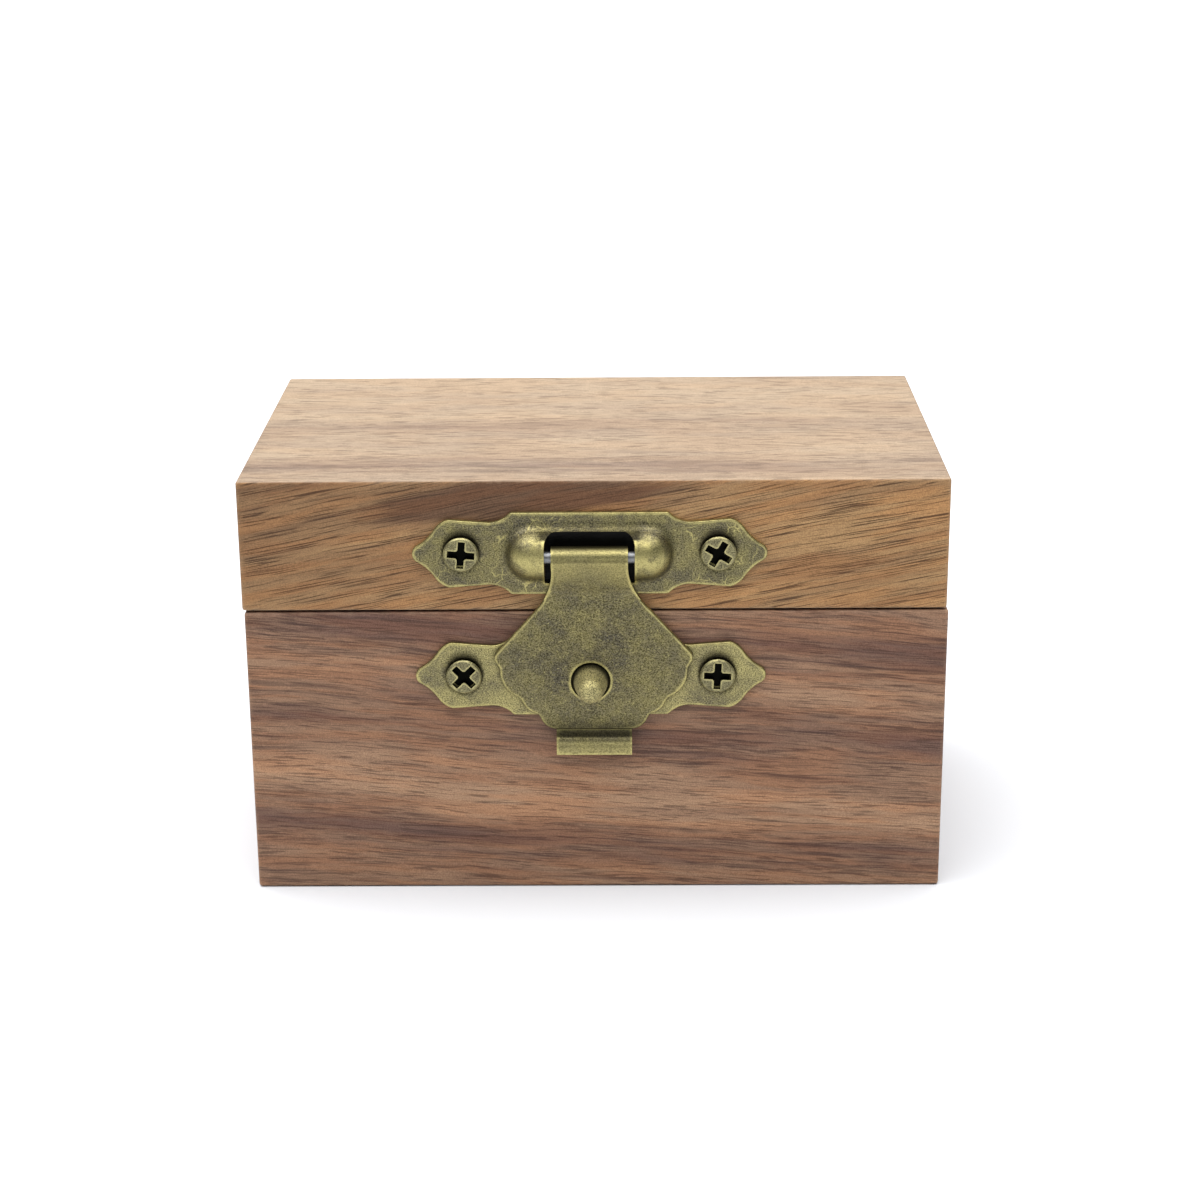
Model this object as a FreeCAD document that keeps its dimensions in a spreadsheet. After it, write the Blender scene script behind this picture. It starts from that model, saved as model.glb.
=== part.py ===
import FreeCAD, Part
import os
from math import atan2, degrees, radians, tan

import Sketcher
from FreeCAD import Placement, Rotation, Vector

# Small walnut watch box with a pressed brass hasp, in millimetres.
# The origin is the centre of the bottom face, the front looks along -Y and +Z is up.

doc = FreeCAD.newDocument("watch_box")

# Driving sizes, one to a row of the sheet, read below as dim.NAME.
driving_sizes = {
    # wooden base and lid, each milled from one block
    "box_width": 100.0,
    "box_depth": 61.0,
    "base_height": 42.65,
    "lid_height": 19.05,
    "seam_gap": 0.3,
    "lid_side_shift": -0.26,
    "wall": 7.0,
    "floor_thick": 6.0,
    "lid_top_thick": 6.0,
    "cavity_corner": 6.0,
    "arris": 0.4,
    # cloth lining, lid pad and watch pillow
    "lining_thick": 1.2,
    "glue_line": 0.05,
    "lining_drop": 1.5,
    "lining_joint": 0.4,
    "lid_pad_thick": 4.0,
    "lid_pad_round": 2.6,
    "lid_pad_room": 0.3,
    "pillow_end_room": 4.75,
    "pillow_height": 30.0,
    "strap_room": 4.8,
    "pillow_crown": 2.6,
    "pillow_foot_inset": 5.0,
    "pillow_shoulder_inset": 4.0,
    "pillow_belly": 13.0,
    "pillow_end_inset": 4.6,
    "pillow_end_drop": 4.2,
    "pillow_end_run": 9.0,
    "pillow_near_share": 0.2,
    # pressed sheet of the hasp and its two fixed plates
    "hasp_shift": -0.8,
    "sheet": 0.7,
    "edge_round": 0.2,
    "corner_round": 0.6,
    "upper_plate_rise": 8.55,
    "catch_plate_drop": 9.4,
    "plate_half_width": 25.0,
    "tip_depth": 0.55,
    "tip_half": 1.1,
    "barb_setback": 3.1,
    "barb_drop": 1.6,
    "ear_setback": 5.2,
    "ear_rise": 0.42,
    "panel_half_width": 11.1,
    "panel_half_height": 6.0,
    "waist_run": 3.3,
    "waist_drop": 1.42,
    # raised ridge of the upper plate, cut by a window for the flap's knuckle
    "ridge_radius": 3.7,
    "ridge_half_length": 11.8,
    "ridge_foot_round": 1.6,
    "window_half_width": 6.35,
    "window_rise": 3.5,
    "window_drop": 4.3,
    "window_corner": 1.6,
    # pin, rolled knuckle and flap
    "pin_radius": 0.85,
    "pin_clear": 0.05,
    "pin_grip": 1.9,
    "flap_clear": 0.15,
    "knuckle_half_width": 5.38,
    "knuckle_wrap": 70.0,
    "neck_lean": 25.0,
    "neck_bend": 4.0,
    "neck_length": 1.4,
    "neck_half_width": 6.86,
    "neck_side_shift": 0.31,
    "flare_half_width": 8.1,
    "flare_rise": 10.7,
    "fan_side_shift": 0.45,
    "fan_half_width": 13.75,
    "fan_rise": 4.4,
    "fan_side": 1.8,
    "cusp_across": 0.4,
    "cusp_down": 0.7,
    "scallop_one_across": 2.75,
    "scallop_one_down": 4.4,
    "scallop_two_across": 2.2,
    "scallop_two_down": 1.8,
    "scallop_three_across": 2.2,
    "scallop_three_down": 1.6,
    "lip_lean": 35.0,
    "lip_hollow": 2.2,
    "lip_bend": 0.6,
    "lip_end": 1.7,
    "trim_margin": 2.0,
    "flap_hole_clear": 0.35,
    # catch post riveted in the lower plate
    "post_drop": 0.6,
    "post_collar_radius": 2.5,
    "post_collar_proud": 0.2,
    "post_neck_radius": 1.85,
    "post_taper": 3.6,
    "post_dome": 1.6,
    "post_tail_radius": 1.5,
    # countersunk screws of the hasp
    "screw_setback": 6.9,
    "screw_dish": 3.6,
    "hasp_screw_head": 2.52,
    "hasp_screw_shank": 1.2,
    "hasp_screw_proud": 0.6,
    "hasp_screw_rim": 0.2,
    "hasp_screw_band": 0.15,
    "hasp_screw_slot_reach": 1.95,
    "hasp_screw_slot_half": 0.5,
    "hasp_screw_slot_round": 0.35,
    "hasp_screw_slot_deep": 0.9,
    "screw_clear": 0.05,
    "screw_cover": 1.2,
    "screw_point": 1.6,
    # butt hinges on the back
    "hinge_inset": 23.0,
    "hinge_half_width": 11.0,
    "hinge_reach": 10.0,
    "hinge_corner": 1.2,
    "hinge_sheet": 0.8,
    "hinge_standoff": 0.3,
    "hinge_knuckle_half": 4.7,
    "hinge_knuckle_gap": 0.3,
    "hinge_notch_room": 0.25,
    "hinge_pin_radius": 0.75,
    "hinge_pin_head": 1.15,
    "hinge_pin_dome": 0.5,
    "hinge_screw_at": 6.6,
    "hinge_screw_rise": 6.0,
    "hinge_screw_head": 1.85,
    "hinge_screw_shank": 0.95,
    "hinge_screw_proud": 0.15,
    "hinge_screw_rim": 0.1,
    "hinge_screw_band": 0.05,
    "hinge_screw_slot_reach": 1.25,
    "hinge_screw_slot_half": 0.28,
    "hinge_screw_slot_round": 0.2,
    "hinge_screw_slot_deep": 0.6,
    "hinge_sink_room": 0.15,
}

dim = doc.addObject("Spreadsheet::Sheet", "dim")
for row, (name, value) in enumerate(driving_sizes.items(), start=1):
    dim.set(f"A{row}", name)
    dim.set(f"B{row}", str(value))
    dim.setAlias(f"B{row}", name)
doc.recompute()

# Places and sizes that several pieces share.
front_y = "(-dim.box_depth / 2)"
back_y = "(dim.box_depth / 2)"
lid_bottom = "(dim.base_height + dim.seam_gap)"
cavity_half_x = "(dim.box_width / 2 - dim.wall)"
cavity_half_y = "(dim.box_depth / 2 - dim.wall)"
lining_half_x = f"({cavity_half_x} - dim.glue_line - dim.lining_thick)"
lining_half_y = f"({cavity_half_y} - dim.glue_line - dim.lining_thick)"
lining_corner = "(dim.cavity_corner - dim.glue_line - dim.lining_thick)"
floor_top = "(dim.floor_thick + dim.glue_line + dim.lining_thick)"
upper_plate_z = f"({lid_bottom} + dim.upper_plate_rise)"
catch_plate_z = "(dim.base_height - dim.catch_plate_drop)"
post_z = f"({catch_plate_z} - dim.post_drop)"
screw_at = "(dim.plate_half_width - dim.screw_setback)"
screw_depth = "(dim.wall - dim.screw_cover)"
flap_back = "(dim.sheet + dim.flap_clear)"
flap_front = f"({flap_back} + dim.sheet)"
knuckle_bore = "(dim.pin_radius + dim.pin_clear)"
knuckle_radius = f"({knuckle_bore} + dim.sheet)"
pin_out = f"({flap_back} + {knuckle_radius})"
hole_drop = f"({upper_plate_z} - {post_z})"
ridge_hollow = "(dim.ridge_radius - dim.sheet)"
ridge_base = f"({pin_out} + {knuckle_bore} - {ridge_hollow})"
ridge_top = f"({ridge_base} + dim.ridge_radius)"
hinge_spread = "(dim.box_width / 2 - dim.hinge_inset)"
hinge_z = "(dim.base_height + dim.seam_gap / 2)"
barrel_radius = "(dim.hinge_pin_radius + dim.pin_clear + dim.hinge_sheet)"
hinge_out = f"(dim.hinge_standoff + {barrel_radius})"

# Bulge of an arc: the tangent of a quarter of its angle, positive where the path turns left.
quarter_turn = 0.41421
half_over = Rotation(Vector(1, 0, 0), 180)
turned_round = Rotation(Vector(0, 0, 1), 180)


def size_of(expression):
    return float(dim.evalExpression(expression))


def turn_bulge(angle):
    return tan(radians(size_of(angle)) / 4)


def cap_bulge(height, radius):
    """Bulge of the arc from the crown of a round cap to its rim, square to the axis at the crown."""
    return tan(atan2(size_of(height), size_of(radius)) / 2)


def new_body(label):
    return doc.addObject("PartDesign::Body", label)


def place(item, x="0", y="0", z="0", turn=None):
    if turn:
        item.Placement = Placement(Vector(), turn)
    for axis, expression in zip("xyz", (x, y, z)):
        item.setExpression(f"Placement.Base.{axis}", expression)


def origin_plane(body, role):
    return next(item for item in body.Origin.OriginFeatures if item.Role == role)


def new_sketch(body, name, role, x="0", y="0", out="0"):
    sketch = body.newObject("Sketcher::SketchObject", f"{body.Name}_{name}")
    sketch.AttachmentSupport = [(origin_plane(body, role), "")]
    sketch.MapMode = "FlatFace"
    for axis, expression in zip("xyz", (x, y, out)):
        sketch.setExpression(f"AttachmentOffset.Base.{axis}", expression)
    return sketch


def tie(sketch, kind, *where, to):
    number = sketch.addConstraint(Sketcher.Constraint(kind, *where, size_of(to)))
    sketch.setExpression(f"Constraints[{number}]", to)


def draw_outline(sketch, corners):
    """Draw a closed path of corners (x, y, bulge), each bulge bending the run to the next corner."""
    spots = [Vector(size_of(x), size_of(y), 0) for x, y, bulge in corners]
    runs = []
    for index, (x, y, bulge) in enumerate(corners):
        start = spots[index]
        after = (index + 1) % len(corners)
        end = spots[after]
        if not bulge:
            number = sketch.addGeometry(Part.LineSegment(start, end), False)
            runs.append((number, 1, 2))
            continue
        span = end - start
        crest = (start + end) / 2 + Vector(span.y, -span.x, 0) * (bulge / 2)
        if bulge > 0:
            number = sketch.addGeometry(Part.Arc(start, crest, end), False)
            runs.append((number, 1, 2))
        else:
            number = sketch.addGeometry(Part.Arc(end, crest, start), False)
            runs.append((number, 2, 1))
        next_x, next_y = corners[after][:2]
        chord = f"hypot({next_x} - ({x}); {next_y} - ({y}))"
        tie(sketch, "Radius", number, to=f"{chord} * {(1 + bulge ** 2) / (4 * abs(bulge))}")
    for index, (number, first, last) in enumerate(runs):
        after_number, after_first, _ = runs[(index + 1) % len(runs)]
        sketch.addConstraint(Sketcher.Constraint("Coincident", number, last, after_number, after_first))
        x, y, _ = corners[index]
        tie(sketch, "DistanceX", number, first, to=x)
        tie(sketch, "DistanceY", number, first, to=y)


def draw_circle(sketch, x, y, radius):
    centre = Vector(size_of(x), size_of(y), 0)
    ring = sketch.addGeometry(Part.Circle(centre, Vector(0, 0, 1), size_of(radius)), False)
    tie(sketch, "DistanceX", ring, 3, to=x)
    tie(sketch, "DistanceY", ring, 3, to=y)
    tie(sketch, "Radius", ring, to=radius)


def reflected(corners, flip_x=False, flip_y=False, joint=0.0):
    """The same run of corners seen in a mirror and walked backwards; joint bends the run after it."""
    result = []
    for index in reversed(range(len(corners))):
        x, y, _ = corners[index]
        bulge = corners[index - 1][2] if index else joint
        result.append((f"-({x})" if flip_x else x, f"-({y})" if flip_y else y, bulge))
    return result


def rounded_rectangle(half_x, half_y, corner):
    quarter = [
        (half_x, f"{half_y} - {corner}", quarter_turn),
        (f"{half_x} - {corner}", half_y, 0),
    ]
    top = quarter + reflected(quarter, flip_x=True)
    return top + reflected(top, flip_y=True)


def rectangle(left, bottom, right, top):
    return [(left, bottom, 0), (right, bottom, 0), (right, top, 0), (left, top, 0)]


def add_feature(body, kind, name, sketch, **sizes):
    feature = body.newObject(f"PartDesign::{kind}", f"{body.Name}_{name}")
    feature.Profile = sketch
    for prop, expression in sizes.items():
        feature.setExpression(prop, expression)
    return feature


def add_turned(body, kind, name, sketch, axis):
    feature = add_feature(body, kind, name, sketch)
    feature.ReferenceAxis = (sketch, [axis])
    feature.Angle = 360
    return feature


def add_mirrored(body, name, originals):
    mirrored = body.newObject("PartDesign::Mirrored", f"{body.Name}_{name}")
    mirrored.Originals = originals
    mirrored.MirrorPlane = (origin_plane(body, "YZ_Plane"), [""])
    body.Tip = mirrored
    return mirrored


def round_edges(body, name, radius, wanted):
    doc.recompute()
    base = body.Tip
    edges = enumerate(base.Shape.Edges, start=1)
    chosen = [f"Edge{number}" for number, edge in edges if wanted(base.Shape, edge)]
    fillet = body.newObject("PartDesign::Fillet", f"{body.Name}_{name}")
    fillet.Base = (base, chosen)
    fillet.setExpression("Radius", radius)
    return fillet


same_place = 1e-4
sharp_turn = 5  # degrees


def lies_at(edge, axis, expression):
    level = size_of(expression)
    box = edge.BoundBox
    low, high = {"y": (box.YMin, box.YMax), "z": (box.ZMin, box.ZMax)}[axis]
    return abs(low - level) < same_place and abs(high - level) < same_place


def lies_within(edge, half_x, half_y):
    box = edge.BoundBox
    across = max(abs(box.XMin), abs(box.XMax))
    along = max(abs(box.YMin), abs(box.YMax))
    return across < size_of(half_x) and along < size_of(half_y)


def is_sharp_corner(shape, edge):
    """True for an edge through the thickness of a flat sheet where its outline turns sharply."""
    if edge.BoundBox.XLength + edge.BoundBox.ZLength > same_place:
        return False
    spot = edge.Vertexes[0].Point
    faces = shape.ancestorsOfType(edge, Part.Face)
    normals = [face.normalAt(*face.Surface.parameter(spot)) for face in faces]
    return degrees(normals[0].getAngle(normals[1])) > sharp_turn


# Wooden base and lid


def drill_pilots(body, name, face_out, radius, spots, reversed_way):
    """Blind screw holes in the front or back face, as deep as the screws that go in them."""
    sketch = new_sketch(body, name, "XZ_Plane", out=face_out)
    for x, z in spots:
        draw_circle(sketch, x, z, radius)
    pilots = add_feature(body, "Pocket", f"{name}_cut", sketch, Length=f"{screw_depth} + dim.screw_clear")
    pilots.Reversed = reversed_way


def hollow_block(label, bottom, height, cavity_floor, cavity_depth, mouth, side_shift):
    body = new_body(label)
    outline = new_sketch(body, "outline", "XY_Plane", x=side_shift, out=bottom)
    half_x = "dim.box_width / 2"
    half_y = "dim.box_depth / 2"
    draw_outline(outline, rectangle(f"-{half_x}", f"-{half_y}", half_x, half_y))
    add_feature(body, "Pad", "block", outline, Length=height)
    round_edges(body, "arris", "dim.arris", lambda shape, edge: True)
    cavity = new_sketch(body, "cavity", "XY_Plane", x=side_shift, out=cavity_floor)
    draw_outline(cavity, rounded_rectangle(cavity_half_x, cavity_half_y, "dim.cavity_corner"))
    milling = add_feature(body, "Pocket", "milling", cavity, Length=cavity_depth)
    milling.Reversed = True

    def on_mouth(shape, edge):
        within = lies_within(edge, f"{cavity_half_x} + dim.wall / 2", f"{cavity_half_y} + dim.wall / 2")
        return within and lies_at(edge, "z", mouth)
    round_edges(body, "mouth", "dim.arris", on_mouth)
    return body


def hasp_spots(plate_z):
    return [(f"dim.hasp_shift + {screw_at}", plate_z), (f"dim.hasp_shift - {screw_at}", plate_z)]


def hinge_spots(way):
    spots = []
    for side in ("-", "+"):
        for step in ("-", "+"):
            x = f"{side}{hinge_spread} {step} dim.hinge_screw_at"
            spots.append((x, f"{hinge_z} {way} dim.hinge_screw_rise"))
    return spots


hasp_pilot = "dim.hasp_screw_shank + dim.screw_clear"
hinge_pilot = "dim.hinge_screw_shank + dim.screw_clear"

base_box = hollow_block(
    "base_box", "0", "dim.base_height", "dim.floor_thick",
    "dim.base_height - dim.floor_thick", "dim.base_height", "0")
drill_pilots(base_box, "hasp_pilots", "dim.box_depth / 2", hasp_pilot, hasp_spots(catch_plate_z), False)
drill_pilots(base_box, "hinge_pilots", front_y, hinge_pilot, hinge_spots("-"), True)

lid_box = hollow_block(
    "lid_box", lid_bottom, "dim.lid_height", lid_bottom,
    "dim.lid_height - dim.lid_top_thick", lid_bottom, "dim.lid_side_shift")
drill_pilots(lid_box, "hasp_pilots", "dim.box_depth / 2", hasp_pilot, hasp_spots(upper_plate_z), False)
drill_pilots(lid_box, "hinge_pilots", front_y, hinge_pilot, hinge_spots("+"), True)


# Cloth lining: a strip round the walls with a butt joint at the back, a floor panel and a lid pad


def lining_strip(label, bottom, height, side_shift):
    body = new_body(label)
    ring = new_sketch(body, "ring", "XY_Plane")
    outer_x = f"({cavity_half_x} - dim.glue_line)"
    outer_y = f"({cavity_half_y} - dim.glue_line)"
    draw_outline(ring, rounded_rectangle(outer_x, outer_y, "(dim.cavity_corner - dim.glue_line)"))
    draw_outline(ring, rounded_rectangle(lining_half_x, lining_half_y, lining_corner))
    add_feature(body, "Pad", "strip", ring, Length=height)
    joint = new_sketch(body, "joint", "XY_Plane")
    half_joint = "dim.lining_joint / 2"
    draw_outline(joint, rectangle(f"-{half_joint}", "0", half_joint, cavity_half_y))
    slit = add_feature(body, "Pocket", "slit", joint, Length=height)
    slit.Reversed = True
    place(body, x=side_shift, z=bottom)
    return body


base_lining_wall = lining_strip(
    "base_lining_wall", floor_top, f"dim.base_height - dim.lining_drop - {floor_top}", "0")
lid_lining_height = "(dim.lid_height - dim.lid_top_thick - dim.lining_drop - dim.glue_line)"
lid_lining_wall = lining_strip(
    "lid_lining_wall", f"{lid_bottom} + dim.lining_drop", lid_lining_height, "dim.lid_side_shift")

base_lining_floor = new_body("base_lining_floor")
floor_outline = new_sketch(base_lining_floor, "outline", "XY_Plane")
draw_outline(floor_outline, rounded_rectangle(
    f"({cavity_half_x} - dim.glue_line)", f"({cavity_half_y} - dim.glue_line)",
    "(dim.cavity_corner - dim.glue_line)"))
add_feature(base_lining_floor, "Pad", "panel", floor_outline, Length="dim.lining_thick")
place(base_lining_floor, z="dim.floor_thick + dim.glue_line")

lid_pad = new_body("lid_pad")
pad_outline = new_sketch(lid_pad, "outline", "XY_Plane")
draw_outline(pad_outline, rounded_rectangle(
    f"({lining_half_x} - dim.lid_pad_room)", f"({lining_half_y} - dim.lid_pad_room)",
    f"({lining_corner} - dim.lid_pad_room)"))
add_feature(lid_pad, "Pad", "board", pad_outline, Length="dim.lid_pad_thick")
round_edges(lid_pad, "crown", "dim.lid_pad_round", lambda shape, edge: lies_at(edge, "z", "0"))
lid_ceiling = f"({lid_bottom} + dim.lid_height - dim.lid_top_thick)"
place(lid_pad, x="dim.lid_side_shift", z=f"{lid_ceiling} - dim.glue_line - dim.lid_pad_thick")


# Watch pillow: crowned along its length and drawn in towards both end seams

watch_pillow = new_body("watch_pillow")
pillow_half_depth = f"({lining_half_y} - dim.strap_room)"
side_bulge = 0.2
crown_bulge = 0.2


def pillow_section(name, x, inset, drop):
    """One slice across the pillow, flat underneath, with a full belly and a crowned top."""
    sketch = new_sketch(watch_pillow, name, "YZ_Plane", out=x)
    belly = f"({pillow_half_depth} - {inset})"
    foot = f"({belly} - dim.pillow_foot_inset)"
    shoulder = f"({belly} - dim.pillow_shoulder_inset)"
    shoulder_z = f"dim.pillow_height - dim.pillow_crown - {drop}"
    side = [
        (foot, "0", side_bulge),
        (belly, "dim.pillow_belly", side_bulge),
        (shoulder, shoulder_z, crown_bulge),
    ]
    draw_outline(sketch, side + reflected(side, flip_x=True))
    return sketch


half_length = f"({lining_half_x} - dim.pillow_end_room)"
near_end = f"({half_length} - dim.pillow_end_run)"
near_inset = "(dim.pillow_end_inset * dim.pillow_near_share)"
near_drop = "(dim.pillow_end_drop * dim.pillow_near_share)"
slices = [
    pillow_section("left_end", f"-{half_length}", "dim.pillow_end_inset", "dim.pillow_end_drop"),
    pillow_section("left_side", f"-{near_end}", near_inset, near_drop),
    pillow_section("middle", "0", "0", "0"),
    pillow_section("right_side", near_end, near_inset, near_drop),
    pillow_section("right_end", half_length, "dim.pillow_end_inset", "dim.pillow_end_drop"),
]
stuffing = add_feature(watch_pillow, "AdditiveLoft", "stuffing", slices[0])
stuffing.Sections = slices[1:]
place(watch_pillow, z=floor_top)


# Hasp plates: both share one pressed outline, its ears drawn out to a barbed tip


barb_hollow = -0.12
ear_swell = 0.2
waist_hollow = -0.24


def plate_outline():
    tip_bulge = size_of("dim.tip_depth / dim.tip_half")
    waist_half = "(dim.panel_half_height - dim.waist_drop)"
    ear_half = f"({waist_half} + dim.ear_rise)"
    quarter = [
        ("dim.plate_half_width - dim.tip_depth", "dim.tip_half", barb_hollow),
        ("dim.plate_half_width - dim.barb_setback", f"{ear_half} - dim.barb_drop", ear_swell),
        ("dim.plate_half_width - dim.ear_setback", ear_half, 0),
        ("dim.panel_half_width + dim.waist_run", waist_half, waist_hollow),
        ("dim.panel_half_width", "dim.panel_half_height", 0),
    ]
    top = quarter + reflected(quarter, flip_x=True, joint=tip_bulge)
    return top + reflected(top, flip_y=True, joint=tip_bulge)


def hasp_plate(label):
    body = new_body(label)
    outline = new_sketch(body, "outline", "XZ_Plane")
    draw_outline(outline, plate_outline())
    add_feature(body, "Pad", "sheet", outline, Length="dim.sheet")
    round_edges(body, "soft_corner", "dim.corner_round", is_sharp_corner)
    round_edges(body, "soft_edge", "dim.edge_round", lambda shape, edge: lies_at(edge, "y", "-dim.sheet"))
    return body


def dish_screw_holes(body):
    """A dished seat for each screw head, its rim rolling smoothly out of the sheet's face."""
    dish = new_sketch(body, "dish", "XY_Plane", x=screw_at)
    hole = "(dim.hasp_screw_shank + dim.screw_clear)"
    draw_outline(dish, [
        ("0", "0", 0),
        (hole, "0", cap_bulge("dim.sheet", f"dim.screw_dish - {hole}")),
        ("dim.screw_dish", "-dim.sheet", 0),
        ("0", "-dim.sheet", 0),
    ])
    pressed = add_turned(body, "Groove", "dish_cut", dish, "V_Axis")
    add_mirrored(body, "dish_pair", [pressed])


hasp_upper_plate = hasp_plate("hasp_upper_plate")


def ridge_profile(name, radius):
    """Half of a long capsule beside the ridge's own axis, which runs along X over the plate."""
    sketch = new_sketch(hasp_upper_plate, name, "XY_Plane", y=f"-{ridge_base}")
    ball = "(dim.ridge_half_length - dim.ridge_radius)"
    draw_outline(sketch, [
        (f"-{ball} - {radius}", "0", quarter_turn), (f"-{ball}", f"-{radius}", 0),
        (ball, f"-{radius}", quarter_turn), (f"{ball} + {radius}", "0", 0)])
    return sketch


def on_ridge_foot(shape, edge):
    across = max(abs(edge.BoundBox.XMin), abs(edge.BoundBox.XMax))
    up = max(abs(edge.BoundBox.ZMin), abs(edge.BoundBox.ZMax))
    within = across < size_of("dim.ridge_half_length") and up < size_of("dim.ridge_radius")
    return within and lies_at(edge, "y", "-dim.sheet")


ridge = ridge_profile("ridge", "dim.ridge_radius")
add_turned(hasp_upper_plate, "Revolution", "ridge_swell", ridge, "H_Axis")
back_side = new_sketch(hasp_upper_plate, "back_side", "XZ_Plane")
draw_outline(back_side, rectangle(
    "-dim.ridge_half_length", "-dim.panel_half_height", "dim.ridge_half_length", "dim.panel_half_height"))
add_feature(hasp_upper_plate, "Pocket", "flat_back", back_side, Length="dim.ridge_radius")
round_edges(hasp_upper_plate, "ridge_foot", "dim.ridge_foot_round", on_ridge_foot)
ridge_core = ridge_profile("ridge_core", ridge_hollow)
add_turned(hasp_upper_plate, "Groove", "ridge_hollow", ridge_core, "H_Axis")
window = new_sketch(hasp_upper_plate, "window", "XZ_Plane", out=ridge_top)
window_right = [
    ("dim.window_half_width", "-dim.window_drop", 0),
    ("dim.window_half_width", "dim.window_rise - dim.window_corner", quarter_turn),
    ("dim.window_half_width - dim.window_corner", "dim.window_rise", 0),
]
draw_outline(window, window_right + reflected(window_right, flip_x=True))
add_feature(hasp_upper_plate, "Pocket", "window_cut", window, Length=ridge_top)
dish_screw_holes(hasp_upper_plate)
place(hasp_upper_plate, "dim.hasp_shift", front_y, upper_plate_z)

hasp_catch_plate = hasp_plate("hasp_catch_plate")
rivet = new_sketch(hasp_catch_plate, "rivet", "XZ_Plane", out="dim.sheet")
draw_circle(rivet, "0", "-dim.post_drop", "dim.post_tail_radius + dim.screw_clear")
add_feature(hasp_catch_plate, "Pocket", "rivet_hole", rivet, Length="dim.sheet")
dish_screw_holes(hasp_catch_plate)
place(hasp_catch_plate, "dim.hasp_shift", front_y, catch_plate_z)


# Hasp pin, held in the hollow of the ridge on both sides of the window

hasp_pin = doc.addObject("Part::Cylinder", "hasp_pin")
hasp_pin.setExpression("Radius", "dim.pin_radius")
pin_half_length = "(dim.window_half_width + dim.pin_grip)"
hasp_pin.setExpression("Height", f"2 * {pin_half_length}")
place(hasp_pin, f"dim.hasp_shift - {pin_half_length}", f"{front_y} - {pin_out}", upper_plate_z,
      turn=Rotation(Vector(0, 1, 0), 90))


# Hasp flap: a flat scalloped fan, a neck leaning out to the knuckle rolled round the pin, and a finger lip

hasp_flap = new_body("hasp_flap")
lean_sin = "sin(dim.neck_lean * 1 deg)"
lean_cos = "cos(dim.neck_lean * 1 deg)"
wrap_sin = "sin(dim.knuckle_wrap * 1 deg)"
wrap_cos = "cos(dim.knuckle_wrap * 1 deg)"
lean_bulge = turn_bulge("dim.neck_lean")
wrap_bulge = turn_bulge("dim.knuckle_wrap")
neck_hollow = 0.145
flare_hollow = 0.053
scallops = {"fan_side": -0.39, "one": -0.34, "two": -0.26, "three": -0.3}

# The neck seen from the side, with the pin at 0, 0 and the box towards positive x.
face_x = f"({pin_out} - {flap_front})"
back_x = f"({pin_out} - {flap_back})"
slope = f"(({face_x} + {knuckle_radius} * {lean_cos} - dim.neck_bend * (1 - {lean_cos})) / {lean_sin})"
slope_x = f"({slope} * {lean_sin} - {knuckle_radius} * {lean_cos})"
slope_z = f"(-{slope} * {lean_cos} - {knuckle_radius} * {lean_sin})"
neck_end = f"({slope_z} - dim.neck_bend * {lean_sin})"


def flap_side(sign):
    """One side of the fan from the neck down to the lip; heights are from the pin."""
    corners = [
        (f"{sign}dim.neck_half_width + dim.neck_side_shift", neck_end, flare_hollow),
        (f"{sign}dim.flare_half_width + dim.fan_side_shift", f"dim.flare_rise - {hole_drop}", 0),
    ]
    across = "dim.fan_half_width"
    down = f"dim.fan_rise - {hole_drop}"
    for step, bulge in scallops.items():
        if step != "fan_side":
            across += " - dim.cusp_across"
            down += " - dim.cusp_down"
        corners.append((f"{sign}({across}) + dim.fan_side_shift", down, bulge))
        if step == "fan_side":
            down += " - dim.fan_side"
        else:
            across += f" - dim.scallop_{step}_across"
            down += f" - dim.scallop_{step}_down"
        corners.append((f"{sign}({across}) + dim.fan_side_shift", down, 0))
    return corners, across, down


right_side, lip_across, lip_down = flap_side("+")
left_side = flap_side("-")[0]
lip_start = f"({lip_down})"
fan_outline = new_sketch(hasp_flap, "outline", "XZ_Plane", out=flap_back)
draw_outline(fan_outline, right_side + reflected(left_side))
add_feature(hasp_flap, "Pad", "fan", fan_outline, Length="dim.sheet")


def is_bend_line(edge):
    return lies_at(edge, "z", neck_end) or lies_at(edge, "z", lip_start)


def on_flap_corner(shape, edge):
    return is_sharp_corner(shape, edge) and not is_bend_line(edge)


def on_flap_rim(shape, edge):
    return lies_at(edge, "y", f"-{flap_front}") and not is_bend_line(edge)


round_edges(hasp_flap, "soft_corner", "dim.corner_round", on_flap_corner)
round_edges(hasp_flap, "soft_edge", "dim.edge_round", on_flap_rim)

roll = new_sketch(hasp_flap, "roll", "YZ_Plane", x=f"-{pin_out}")
draw_outline(roll, [
    (face_x, neck_end, lean_bulge),
    (slope_x, slope_z, 0),
    (f"-{knuckle_radius} * {lean_cos}", f"-{knuckle_radius} * {lean_sin}", -lean_bulge),
    (f"-{knuckle_radius}", "0", -quarter_turn),
    ("0", knuckle_radius, -quarter_turn),
    (knuckle_radius, "0", -wrap_bulge),
    (f"{knuckle_radius} * {wrap_cos}", f"-{knuckle_radius} * {wrap_sin}", 0),
    (f"{knuckle_bore} * {wrap_cos}", f"-{knuckle_bore} * {wrap_sin}", wrap_bulge),
    (knuckle_bore, "0", quarter_turn),
    ("0", knuckle_bore, quarter_turn),
    (f"-{knuckle_bore}", "0", lean_bulge),
    (f"-{knuckle_bore} * {lean_cos}", f"-{knuckle_bore} * {lean_sin}", 0),
    (f"{slope_x} + dim.sheet * {lean_cos}", f"{slope_z} + dim.sheet * {lean_sin}", -lean_bulge),
    (back_x, neck_end, 0),
])
half_strip = "(dim.neck_half_width + dim.trim_margin)"
knuckle = add_feature(hasp_flap, "Pad", "knuckle", roll, Length=f"2 * {half_strip}")
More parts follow.
